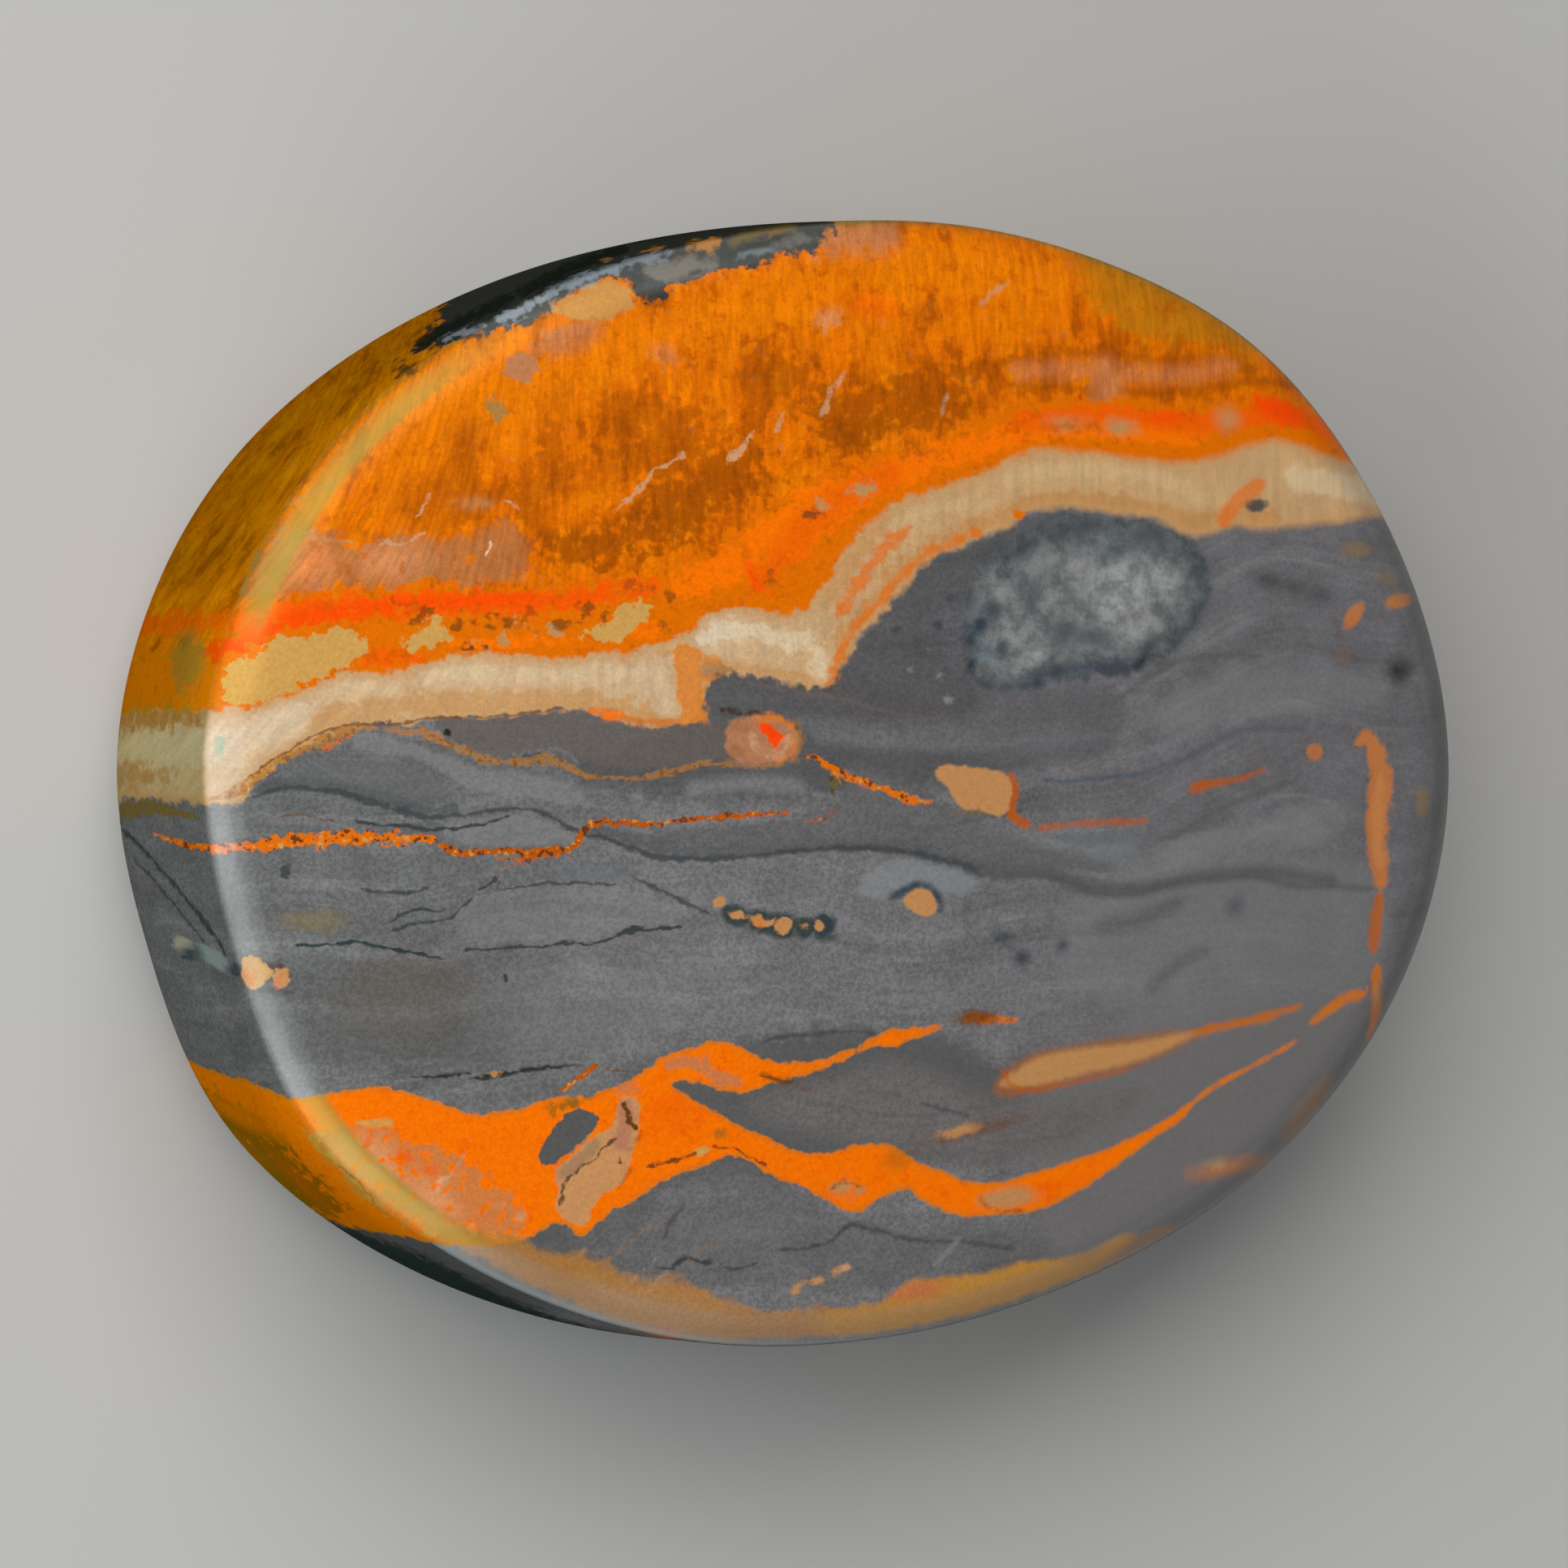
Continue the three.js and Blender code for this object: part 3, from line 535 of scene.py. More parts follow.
DRUSE_DARKS = [
    band(rgb(44, 56, 68), [(5.4, 5), (6.2, 4.5), (7.4, 4.4)], 0.12, 0.2, 0.7),
    band(rgb(40, 54, 68), [(8, 4.5), (9, 4.6), (9.7, 5.2), (11, 5.3), (13.3, 5.2), (13.9, 5.6),
        (14.5, 6.2)], 0.14, 0.22, 0.8),
    band(rgb(58, 66, 72), [(16.4, 11.2), (17.2, 10.4), (17.6, 9), (17.3, 8), (16, 6.5)], 0.14, 0.22, 0.75),
    *spots(NAVY, (7.3, 9.6, 0.35, 0.25, 0, 0.18, 0.7), (5.5, 6.5, 0.28, 0.55, 0, 0.2, 0.9),
        (5.55, 5.4, 0.16, 0.4, 0, 0.14, 0.9), (3.9, 7.25, 0.2, 0.2, 0, 0.12, 0.8),
        (1.9, 7, 0.18, 0.18, 0, 0.12, 0.7), (7.1, -7.1, 0.5, 0.3, -30, 0.25, 0.8),
        (8.1, -8.1, 0.32, 0.32, 0, 0.18, 0.9), (10.1, -7.5, 0.26, 0.26, 0, 0.2, 0.7),
        (18.9, -5.8, 0.3, 0.3, 0, 0.25, 0.6)),
    *spots(CRYSTAL_DARK, (7.3, 10.8, 0.5, 0.4, 0, 0.25, 0.9), (9.5, 12, 0.9, 0.22, 30, 0.2, 0.8),
        (10.2, 11.4, 0.5, 0.2, 0, 0.2, 0.7), (14.5, 11.3, 0.8, 0.5, 0, 0.3, 0.8)),
    *spots(SEAM_GREY, (10, 7.4, 0.5, 0.4, 0, 0.35, 0.5), (20.7, 9.3, 0.6, 0.24, -20, 0.2, 0.9),
        (21.9, 9, 0.5, 0.2, -10, 0.2, 0.8), (23.4, 8.7, 0.4, 0.2, 0, 0.2, 0.8),
        (-26.7, -3.5, 0.16, 0.5, -15, 0.1, 0.9), (-15.6, 1.2, 0.9, 0.14, 0, 0.1, 0.7)),
    spot(rgb(52, 60, 68), 6.7, 7.9, 0.4, 0.6, 30, 0.2, 0.8),
    spot(rgb(46, 58, 70), 6.1, 7.2, 0.34, 0.4, 0, 0.15, 0.9),
    spot(rgb(60, 66, 72), 8.1, 10.6, 0.8, 0.28, 30, 0.2, 0.8),
    spot(rgb(62, 68, 74), 11, 11.7, 0.9, 0.3, 0, 0.2, 0.7),
    spot(rgb(58, 66, 74), 7.1, 6.1, 0.3, 0.45, 0, 0.15, 0.8),
    spot(rgb(70, 76, 82), 12.9, 10.5, 0.7, 0.3, 20, 0.2, 0.6),
    spot(rgb(66, 72, 80), 8.6, 8.1, 0.35, 0.5, 40, 0.2, 0.6),
    spot(rgb(72, 78, 84), 11.6, 6.7, 0.6, 0.3, 0, 0.2, 0.6),
    spot(rgb(60, 68, 78), 8.9, 5, 0.5, 0.2, 10, 0.15, 0.6),
    spot(rgb(64, 70, 76), 9.7, 9.4, 0.4, 0.3, 0, 0.2, 0.5),
    *spots(rgb(66, 70, 76), (3, 6.4, 0.14, 0.14, 0, 0.1, 0.7), (4.6, 8.4, 0.16, 0.12, 0, 0.1, 0.7),
        (2.9, 8.1, 0.12, 0.12, 0, 0.1, 0.7), (1.2, 6, 0.14, 0.1, 0, 0.1, 0.6)),
    *spots(BLACK_GREEN, (14.1, 5.6, 0.5, 0.26, 40, 0.15, 0.9), (27.5, 5.1, 0.5, 0.5, 0, 0.25, 0.9),
        (-19.4, 2.35, 0.2, 0.16, 0, 0.08)),
    spot(TEAL_DARK, -16.7, -8.6, 0.15, 0.15, 0, 0.08),
    *spots(CRYSTAL_PALE, (4, 4.8, 0.16, 0.14, 0, 0.1, 0.8), (4.4, 3.8, 0.18, 0.12, 0, 0.1, 0.7),
        (2.6, 5.2, 0.12, 0.1, 0, 0.08, 0.6), (3.4, 6.1, 0.1, 0.1, 0, 0.08, 0.6)),
]

# Dark seams and hair cracks in the grey rock.
SEAMS = [
    line(SEAM_GREY, [(-28.3, -0.5, 0.06), (-27.4, -0.15, 0.08), (-26.5, -0.05, 0.08), (-25.5, -0.1, 0.08),
        (-24.5, -0.25, 0.12), (-21.5, -1.1, 0.17), (-20.2, -1.5, 0.1), (-16.5, -1.05, 0.08),
        (-15.5, -1.05, 0.08), (-14.8, -1.3, 0.08), (-13.4, -2.1, 0.1), (-12.8, -2.3, 0.11),
        (-12, -2.35, 0.13), (-10.5, -3, 0.14), (-9.5, -3.3, 0.14), (-8, -3.4, 0.14), (-5, -3.3, 0.11),
        (-3, -2.95, 0.11), (1.5, -2.95, 0.14), (4.5, -3.6, 0.18), (6, -4.05, 0.2)], 0.2, 0.85),
    line(GREY_DARK, [(6, -4.05, 0.2), (7, -4.4, 0.2), (9, -4.2, 0.17), (10, -4.45, 0.15), (11, -4.9, 0.15),
        (12, -5.2, 0.14), (13.5, -5.2, 0.14), (14.5, -5.1, 0.14), (15.5, -4.7, 0.14), (20, -4.3, 0.11),
        (22, -5, 0.11), (24, -4.9, 0.1), (26, -5.1, 0.08)], 0.2, 0.8),
    line(rgb(72, 82, 92), [(14, 0.4), (16.2, 1), (18, 1.9), (19.6, 2.5), (22.5, 2.4)], 0.1, 0.6),
    line(GREY_DARK, [(13, 3.9, 0.08), (14, 4.5, 0.17), (15, 5.2, 0.17), (16, 5.6, 0.14), (18, 5.9, 0.08),
        (20, 5.8, 0.06)], 0.2, 0.8),
    line(SEAM_GREY, [(-4.5, -11.7), (-3.6, -11.5), (-1.4, -11.3), (0, -11.3), (0.9, -11.4)], 0.06, 0.8),
    line(SEAM_GREY, [(3.4, -14.7), (4.2, -14.95), (5.6, -15.2)], 0.07, 0.8),
    line(PURPLE_GREY, [(0, -14.1), (1, -14.1), (2.2, -14.3)], 0.1, 0.8),
    line(SEAM_GREY, [(-6.2, -22, 0.02), (-5.3, -22.1, 0.06), (-4.9, -21.9), (-4.5, -21.8)], 0.07),
    line(SEAM_GREY, [(-9.3, -21.9, 0.06), (-8.6, -21.95, 0.07), (-8.3, -21.7), (-8, -21.4), (-7.6, -21.5),
        (-7.2, -21.65, 0.07), (-6.7, -21.7)], 0.09),
    line(SEAM_GREY, [(-3.4, -21.2, 0.06), (-2.6, -21.2, 0.07), (-1.9, -21.1), (-1, -21), (-0.1, -20.1),
        (0.5, -20.2), (2.4, -20.8), (3.6, -21, 0.07), (5, -21.05, 0.07), (6, -21.1), (8, -21.5)], 0.09, 0.85),
    line(GREY_DARK, [(-8.1, -19), (-8.4, -19.5), (-8.8, -19.9), (-9, -20.6)], 0.08),
    line(SEAM_GREY, [(-29.3, -7.6), (-30.5, -5.9), (-33.4, -2.9), (-35, -1.6)], 0.09),
    line(BLACK_GREEN, [(-21, -13.05, 0.02), (-19.8, -13.05, 0.07), (-18.9, -12.95, 0.11),
        (-17.2, -13.1, 0.14), (-14.8, -12.7, 0.08), (-12.9, -12.55, 0.01)], 0.1, 0.9),
    line(SEAM_GREY, [(-23.3, -4.6), (-22.6, -4.75), (-21.5, -4.8), (-20.8, -4.75), (-20.3, -4.55)], 0.07),
    line(SEAM_GREY, [(-21.9, -6.5), (-21.2, -6.2), (-19.4, -6), (-19, -5.8), (-18.6, -5.3),
        (-18.2, -5)], 0.06),
    line(SEAM_GREY, [(-10.8, -4.2), (-10, -4.5), (-7.8, -5.6), (-7.2, -5.8)], 0.09, 0.8),
]
CRACKS = [
    line(SEAM_GREY, [(-23.6, -1.6), (-22.8, -1.75), (-21.8, -1.75), (-20.2, -2), (-18, -1.85),
        (-16.5, -1.4)], 0.07),
    line(SEAM_GREY, [(-22, -6.1), (-21.5, -5.75), (-20.8, -5.5), (-20, -5.6), (-19.4, -5.55)], 0.06),
    line(SEAM_GREY, [(-17.9, -4.7), (-17.1, -4.2)], 0.08),
    line(TEAL_DARK, [(-26.4, -7.1, 0.05), (-25.2, -7.1, 0.06), (-24, -6.95), (-23.2, -7), (-21.6, -7.4),
        (-20.8, -7.45), (-19.6, -7.75)], 0.09),
    line(SEAM_GREY, [(-18.6, -7.35), (-17.8, -7.4), (-16.8, -7.25), (-15.2, -7.3), (-13.6, -7.05),
        (-12.8, -7.2), (-12.2, -7.1), (-11.6, -6.8), (-11, -6.55, 0.14), (-10, -6.55, 0.14), (-9.2, -6.5),
        (-8.4, -6.4)], 0.07),
    line(SEAM_GREY, [(-17, -4.7), (-15, -4.4), (-12.5, -4.4), (-11.5, -4.5)], 0.06, 0.8),
    line(GREY_DARK, [(15.4, -2.6), (16.2, -2.3), (18, -1.3), (19, -0.9), (22, 0)], 0.14, 0.5),
    line(rgb(70, 84, 96), [(9.2, 0.1), (10.4, 0), (12.8, 0.3), (14, 0.35)], 0.1, 0.7),
    line(BLUE_GREY, [(10, -2.5), (12, -2.7), (14, -2.6)], 0.2, 0.7),
    line(BROWN, [(-27, -1.35), (-26, -1.25), (-24.5, -1.6)], 0.06, 0.6),
    line(SEAM_GREY, [(-30.2, -7.4), (-31.4, -5.9), (-34, -3.2)], 0.06, 0.8),
    line(OLIVE, [(-36, -1.1, 0.5), (-33.4, -1, 0.45), (-31.6, -1.2, 0.2), (-30.6, -1.4, 0.05)], 0.3, 0.8),
    line(PURPLE_GREY, [(-6.2, 4.7, 0.05), (-3, 4.2, 0.14), (-1, 3.9, 0.12), (1, 3.3, 0.08),
        (4, 2.9, 0.05)], 0.1, 0.8),
]
STAINS_AND_PAINTED_SHADE = [
    spot(rgb(128, 112, 76), -25.4, -6, 1.5, 0.5, 0, 0.5, 0.55),
    *spots(rgb(136, 112, 76), (25.3, 10.8, 0.8, 0.4, 0, 0.4, 0.6), (27, 9.5, 0.6, 0.4, 0, 0.4, 0.4)),
    spot(rgb(140, 116, 78), 28.8, -1, 0.4, 0.7, 0, 0.4, 0.6),
    spot(rgb(120, 96, 80), 24.5, 5.8, 0.5, 0.4, 0, 0.3, 0.4),
    spot(rgb(198, 118, 52), 25.1, 7.7, 0.75, 0.36, 50, 0.3, 0.8),
    spot(rgb(196, 120, 50), 27.6, 8.4, 0.8, 0.34, 10, 0.25, 0.8),
    spot(OCHRE, 23, -15.4, 1.8, 0.5, 50, 0.6, 0.4),
    spot(rgb(186, 112, 58), 23, 1.35, 0.45, 0.4, 0, 0.2, 0.85),
    patch(OCHRE, [(10.5, -22), (13, -21.6), (15, -20.7), (17, -20.6), (14, -22.2), (11, -23)], 0.5, 0.4),
    spot(rgb(128, 142, 138), -30, -7.7, 0.9, 0.4, -30, 0.2), spot(NAVY, -31.2, -7.6, 0.5, 0.4, 0, 0.2, 0.7),
    spot(rgb(160, 158, 138), -31.6, -7.2, 0.45, 0.36, 0, 0.15, 0.9),
    spot(NAVY, -28.9, -8.2, 0.35, 0.3, 0, 0.12, 0.7),
    # Dark teal over the lower left side and rounded edge: painted shade.
    patch(rgb(40, 52, 48), [(-40, -24), (-30, -20.9), (-26, -20.6), (-23, -20.6), (-20, -21.4), (-16, -23.6),
        (-11, -25.8), (2, -26.6), (2, -40), (-40, -40)], 0.9),
]

# Clasts, beads and their rims.
HALOS = [
    band(BROWN_DARK, [(-6.6, 3.35), (-3.6, 2.95), (-3, 2.5)], 0.12, 0.08, 0.9),
    band(NAVY, [(1.6, -5.2), (2.8, -4.6), (3.4, -4.7), (3.95, -5.2), (4.05, -5.8)], 0.16, 0.12, 0.85),
    band(ORANGE_BROWN, [(7.5, 0.3), (7.7, -0.4), (7.4, -1.2), (7.7, -1.7), (8.3, -1.9)], 0.2, 0.1),
    patch(rgb(158, 94, 46), [(6.8, -13.8), (7.6, -13), (8.6, -12.5), (9.8, -12.2), (17, -11.4), (17, -11.95),
        (14, -13.2), (10.6, -13.8), (9, -14.3), (7.6, -14.45), (6.9, -14.3)], 0.14, 0.75),
    spot(OCHRE, -3.1, 2, 0.35, 0.8, 0, 0.15, 0.8),
    *spots(TEAL_DARK, (-5.9, -5.95, 0.72, 0.5, -10, 0.14, 0.9), (-4.6, -6.25, 0.82, 0.56, -10, 0.14, 0.9),
        (-3.6, -6.45, 0.7, 0.6, 0, 0.14, 0.9), (-2.6, -6.5, 0.6, 0.5, 0, 0.14, 0.9)),
    *spots(NAVY, (-1.7, -6.5, 0.62, 0.6, 0, 0.14, 0.9), (-1.5, -6.9, 0.4, 0.24, 0, 0.15, 0.8)),
    spot(OLIVE, 5.6, -1.3, 0.8, 0.14, 0, 0.1, 0.7), spot(BROWN_DARK, -27.4, -8.2, 0.8, 0.45, 0, 0.15, 0.9),
    spot(SEAM_GREY, -27.2, -9.1, 1, 0.14, 0, 0.1, 0.8),
    *spots(BROWN, (6, -15.95, 2, 0.26, 12, 0.15, 0.6), (5.9, -10.75, 1, 0.34, 0, 0.12, 0.8),
        (-3.6, -13.5, 1, 0.14, -15, 0.1, 0.6)),
]
CLASTS = [
    patch(rgb(178, 120, 84), [(-6.2, 2.8), (-5, 3.1), (-4, 3.1), (-3.2, 2.8), (-2.9, 2), (-3, 1.4), (-3.6, 1),
        (-4.6, 0.85), (-5.8, 0.9), (-6.4, 1.4), (-6.4, 2.2)], 0.12, 0.95),
    patch(TAN, [(3.75, 0.1), (3.8, 0.6), (4.1, 0.85), (6.9, 0.6), (7.4, 0.3), (7.55, -0.4), (7.4, -1),
        (7.2, -1.4), (6.8, -1.6), (5.8, -1.2), (5.2, -1.2), (4.8, -1), (4.2, 0)]),
    patch(TAN, [(2.1, -5.4), (2.6, -4.95), (3.2, -4.8), (3.6, -5.1), (3.85, -5.6), (3.8, -6), (3.2, -6.05),
        (2.6, -5.8)]),
    patch(rgb(188, 136, 84), [(7.1, -13.7), (8.8, -12.7), (9.8, -12.4), (14, -12.05), (17, -11.5),
        (17, -11.8), (14, -13), (12, -13.25), (8.8, -14.05), (7.1, -13.95)], 0.1),
    *spots(TAN, (-6.6, -5.3, 0.3, 0.2, 20), (-5.9, -5.95, 0.45, 0.24, -10), (-4.6, -6.25, 0.55, 0.28, -8),
        (-3.6, -6.45, 0.42, 0.38), (-2.6, -6.5, 0.3, 0.2), (-1.85, -6.5, 0.32, 0.26),
        (-26.9, -8.6, 0.38, 0.5, -20), (-17, -12.95, 0.32, 0.15, 5, 0.06), (5.2, -15.95, 0.85, 0.22, 10, 0.1),
        (-2.5, -23, 0.35, 0.16, 35, 0.08), (-1.6, -22.7, 0.32, 0.16, 30, 0.08),
        (-0.8, -22.3, 0.26, 0.18, 20, 0.08)),
    spot(TAN_PALE, -28, -8.3, 0.62, 0.74, 10),
    *spots(CRYSTAL, (-18.3, -13.05, 0.4, 0.07, 0, 0.05, 0.7), (-15.9, -12.9, 0.4, 0.07, 5, 0.05, 0.7)),
    spot(PINK_PALE, -0.2, -22.1, 0.24, 0.2, 0, 0.08),
    spot(rgb(200, 118, 48), 18.9, -18, 1.4, 0.28, 8, 0.2, 0.9),
    spot(CREAM_TAN, 18.4, -17.9, 0.5, 0.2, 8, 0.2, 0.9),
]
CLAST_EYES = [
    band(rgb(216, 120, 40), [(-5, 3), (-4, 3.05), (-3.2, 2.7), (-3, 2), (-3.2, 1.3),
        (-4, 1)], 0.13, 0.12, 0.85),
    band(rgb(200, 150, 110), [(-5.2, 2.2), (-4.9, 1.5), (-4.1, 1.2), (-3.5, 1.5),
        (-3.4, 2.1)], 0.16, 0.14, 0.9),
    patch(RED_DEEP, [(-4.9, 2.8), (-4.3, 2.75), (-3.8, 2.4), (-3.6, 2.1), (-3.8, 1.75), (-4.2, 1.7),
        (-4.8, 2.4)], 0.06),
    spot(rgb(150, 96, 66), -5.9, 1.5, 0.4, 0.25, 30, 0.2, 0.6),
    spot(rgb(160, 104, 70), -5.7, 2.5, 0.35, 0.2, 0, 0.15, 0.6),
    *spots(ORANGE, (-28.2, -8.5, 0.3, 0.26, 0, 0.12, 0.6), (-27, -8.7, 0.24, 0.24, 0, 0.12, 0.6),
        (-4.7, -6.3, 0.3, 0.12, 0, 0.12, 0.4)),
]

# Orange threads through the grey rock.
THREADS = [
    line(ORANGE, [(-33, -2.2, 0.04), (-30.6, -2.85, 0.18), (-27.6, -2.65, 0.25), (-26.9, -2.45, 0.36),
        (-26.2, -2.5, 0.3), (-24.4, -2.35, 0.3), (-22.4, -2.3, 0.33), (-21.5, -2.35, 0.33),
        (-19.9, -2.4, 0.08)]),
    line(ORANGE_BROWN, [(-19.7, -2.7, 0.12), (-19.2, -2.95, 0.15), (-18.5, -3.05, 0.08), (-17.8, -2.95, 0.15),
        (-16.4, -2.95, 0.14), (-15.1, -3.15, 0.25), (-13.8, -2.9, 0.14), (-13.4, -2.6, 0.15),
        (-12.9, -1.8, 0.2), (-12.4, -1.65, 0.15), (-9.6, -1.85, 0.12), (-9, -1.65, 0.08), (-6.6, -1.45, 0.15),
        (-3.4, -1.3, 0.08)]),
    line(ORANGE_BROWN, [(-17, -3.8), (-16.2, -3.55), (-15.3, -3.4)], 0.05, 0.6),
    line(ORANGE_BROWN, [(-2.6, -1.7), (-1.8, -1.65), (-1.1, -1.2)], 0.08, 0.6),
    line(ORANGE, [(-2.6, 1.3, 0.06), (-2, 1.15, 0.12), (-1.4, 0.75, 0.18), (-0.8, 0.45, 0.18),
        (0.6, -0.05, 0.12), (1.4, -0.3, 0.15), (2, -0.6, 0.2), (2.6, -0.8, 0.2), (3.6, -0.85, 0.04)]),
    line(ORANGE_BROWN, [(8.9, -2.1), (10.8, -1.9), (14.3, -1.8)], 0.12, 0.75),
    line(ORANGE_BROWN, [(16.6, -0.35, 0.22), (17.2, -0.2, 0.25), (17.6, -0.1, 0.15), (19.4, 0.15, 0.1),
        (20.4, 0.6, 0.05)], 0.1, 0.9),
    line(OLIVE, [(-1.3, 0.4), (-1.2, -0.5)], 0.14, 0.7),
    line(ORANGE_BROWN, [(-14.1, -13.8, 0.1), (-13, -13.1, 0.12), (-12.6, -12.75, 0.14),
        (-12.2, -12.6, 0.04)]),
    line(BROWN, [(-12, -12.75), (-11.5, -12.9), (-10.8, -12.9)], 0.05, 0.7),
    line(ORANGE, [(5.3, -10.8, 0.12), (6, -10.75, 0.22), (6.5, -10.85, 0.22), (8, -10.9, 0.05)]),
    line(OCHRE, [(-28, -25, 0.1), (-22, -22.8, 0.16), (-16, -25, 0.1)], 0.1, 0.5),
]
# A fainter thread of ochre and brown under the cream band.
FAINT_THREADS = [
    line(rgb(164, 112, 56), [(-18.6, 1.75, 0.16), (-18.2, 1.3, 0.16), (-17.6, 1.1, 0.16), (-16, 1, 0.2),
        (-15, 1.2, 0.26), (-14.5, 1.15, 0.22), (-13.4, 0.6, 0.12), (-12.7, 0.35, 0.1), (-12, 0.3, 0.1),
        (-10.8, 0.25, 0.06), (-10, 0.35, 0.12), (-7.4, 0.95, 0.13), (-6.6, 1, 0.13), (-5.5, 0.8, 0.1),
        (-4.5, 0.75, 0.09), (-3.6, 0.85, 0.07)], 0.1, 0.9),
    line(rgb(178, 116, 52), [(-22.2, 2.5, 0.1), (-20.6, 2.4, 0.24), (-19.8, 2.1, 0.22),
        (-18.6, 1.5, 0.14)], 0.1, 0.9),
]
# The vein that runs down the right-hand side, and the long tan one that leads to it.
RIGHT_VEINS = [
    line(rgb(188, 116, 66), [(25.3, 1.8, 0.26), (25.9, 2.2, 0.34), (26.5, 0.6, 0.58), (26.5, -0.4, 0.6),
        (26.2, -2.4, 0.56), (26.5, -4.2, 0.44), (26.55, -4.9, 0.3)]),
    line(rgb(176, 96, 50), [(26.5, -5.4, 0.26), (26.4, -6.2, 0.33), (26.2, -7.7, 0.28), (26.2, -8.1, 0.1)]),
    line(rgb(196, 112, 44), [(26.4, -8.8, 0.22), (26.4, -9.6, 0.32), (26.6, -11, 0.34), (26.2, -12.3, 0.02)]),
    line(rgb(190, 104, 36), [(16.8, -11.75, 0.16), (17.8, -11.45, 0.22), (19.8, -11.15, 0.14),
        (20.5, -11, 0.28), (21.2, -10.8, 0.12), (22.4, -10.5, 0.08)]),
    line(rgb(200, 112, 36), [(23, -11.3, 0.12), (24.3, -10.4, 0.28), (25, -10.1, 0.28), (25.7, -10, 0.2)]),
]
RIGHT_VEIN_CORES = [
    line(rgb(200, 134, 80), [(26.5, 0.2, 0.2), (26.4, -1.2, 0.3), (26.3, -2.6, 0.28),
        (26.5, -4, 0.2)], 0.2, 0.6),
    line(TAN, [(26.4, -9.6, 0.12), (26.5, -10.6, 0.18)], 0.1, 0.7),
    line(ORANGE_BROWN, [(7.2, -13.2, 0.1), (8, -14.3, 0.12), (11.4, -13.75, 0.08),
        (13.6, -13.3, 0.06)], 0.1, 0.6),
]

# Orange network across the lower part: its upper edge, then its lower edge back.
NETWORK = [
    patch(ORANGE, [(-40, -12.2), (-30, -13.1), (-28.2, -13.4), (-27, -13.8), (-26, -14), (-23, -13.4),
        (-22.3, -13.45), (-20.5, -13.85), (-18.2, -14.75), (-17.5, -14.75), (-16, -14.6), (-14.8, -14.05),
        (-13.6, -14.1), (-12.5, -14), (-10.2, -13), (-9.3, -12.2), (-6.6, -11.6), (-6.2, -11.65),
        (-5.6, -11.9), (-5.2, -12.2), (-4, -12.6), (-2, -12.7), (0.5, -11.85), (1.5, -11.15), (3.5, -11.15),
        (4.6, -11), (3.4, -11.6), (2.4, -11.7), (2.2, -12.05), (1.5, -12.1), (1, -12), (0.4, -12.15),
        (-2, -13.2), (-3.6, -13.45), (-5, -14), (-6, -14), (-7.8, -13.45), (-8.6, -13.45), (-8.8, -13.55),
        (-8.7, -13.7), (-5.6, -15.5), (-4.1, -16.1), (-3.4, -16.5), (-2.8, -16.7), (-2, -16.8), (-1, -16.75),
        (0.4, -16.4), (1.9, -16.5), (3.6, -17.6), (4.4, -17.75), (5.6, -18.35), (7.2, -18.4), (7.8, -18.3),
        (12.8, -16.95), (16, -15.5), (17.9, -14), (20.4, -13), (22, -12.1), (22.4, -12.1), (22.2, -12.3),
        (17.8, -14.4), (17.2, -14.8), (16.2, -15.9), (15.4, -16.2), (12.4, -18.3), (10.4, -19.3),
        (9.4, -19.7), (8.4, -19.85), (6, -19.95), (5.2, -19.85), (4.6, -19.7), (4.1, -19.4), (3.1, -19),
        (3, -18.6), (2.4, -18.5), (1.3, -19), (0.8, -19.4), (0.2, -19.6), (-0.4, -19.55), (-1.6, -18.8),
        (-2.4, -18.4), (-4, -17.8), (-5.2, -17), (-5.8, -16.8), (-9.2, -17.9), (-10.4, -18.8), (-11.6, -19.3),
        (-12.6, -20.3), (-13, -20.4), (-13.4, -20.1), (-13.7, -19.7), (-14.4, -19.8), (-15.2, -20.4),
        (-16, -20.6), (-18, -20.8), (-21.2, -20.4), (-26, -20.7), (-40, -21)]),
]
NETWORK_PARTS = [
    patch(GREY_LOW, [(-15.1, -16.6), (-14, -14.9), (-13.3, -14.6), (-12.7, -14.6), (-12, -15.3),
        (-14.4, -17.3), (-14.9, -17)]),
    patch(rgb(198, 142, 92), [(-14.3, -17.4), (-12.6, -15.9), (-11.4, -15.3), (-11.3, -14.4), (-11.1, -13.9),
        (-10.6, -14), (-10.2, -14.8), (-10.7, -17.2), (-10.9, -17.9), (-12.3, -18.7), (-12.5, -19.4),
        (-12.9, -20.1), (-13.9, -19.4), (-14.2, -18.8), (-14, -18.2), (-14.2, -17.8)], 0.08),
    *spots(OLIVE, (2.1, -17.2, 0.6, 0.45, 0, 0.3, 0.4), (-6.5, -15.8, 0.3, 0.22, 0, 0.12, 0.6)),
    spot(TAN_PALE, -7.3, -16.6, 0.32, 0.22, 20, 0.08),
    *spots(TAN, (-0.5, -18.4, 0.5, 0.2, 0, 0.1), (0.4, -18.6, 0.2, 0.16, 0, 0.08),
        (7.7, -19.1, 1.35, 0.46, 5, 0.14)),
]
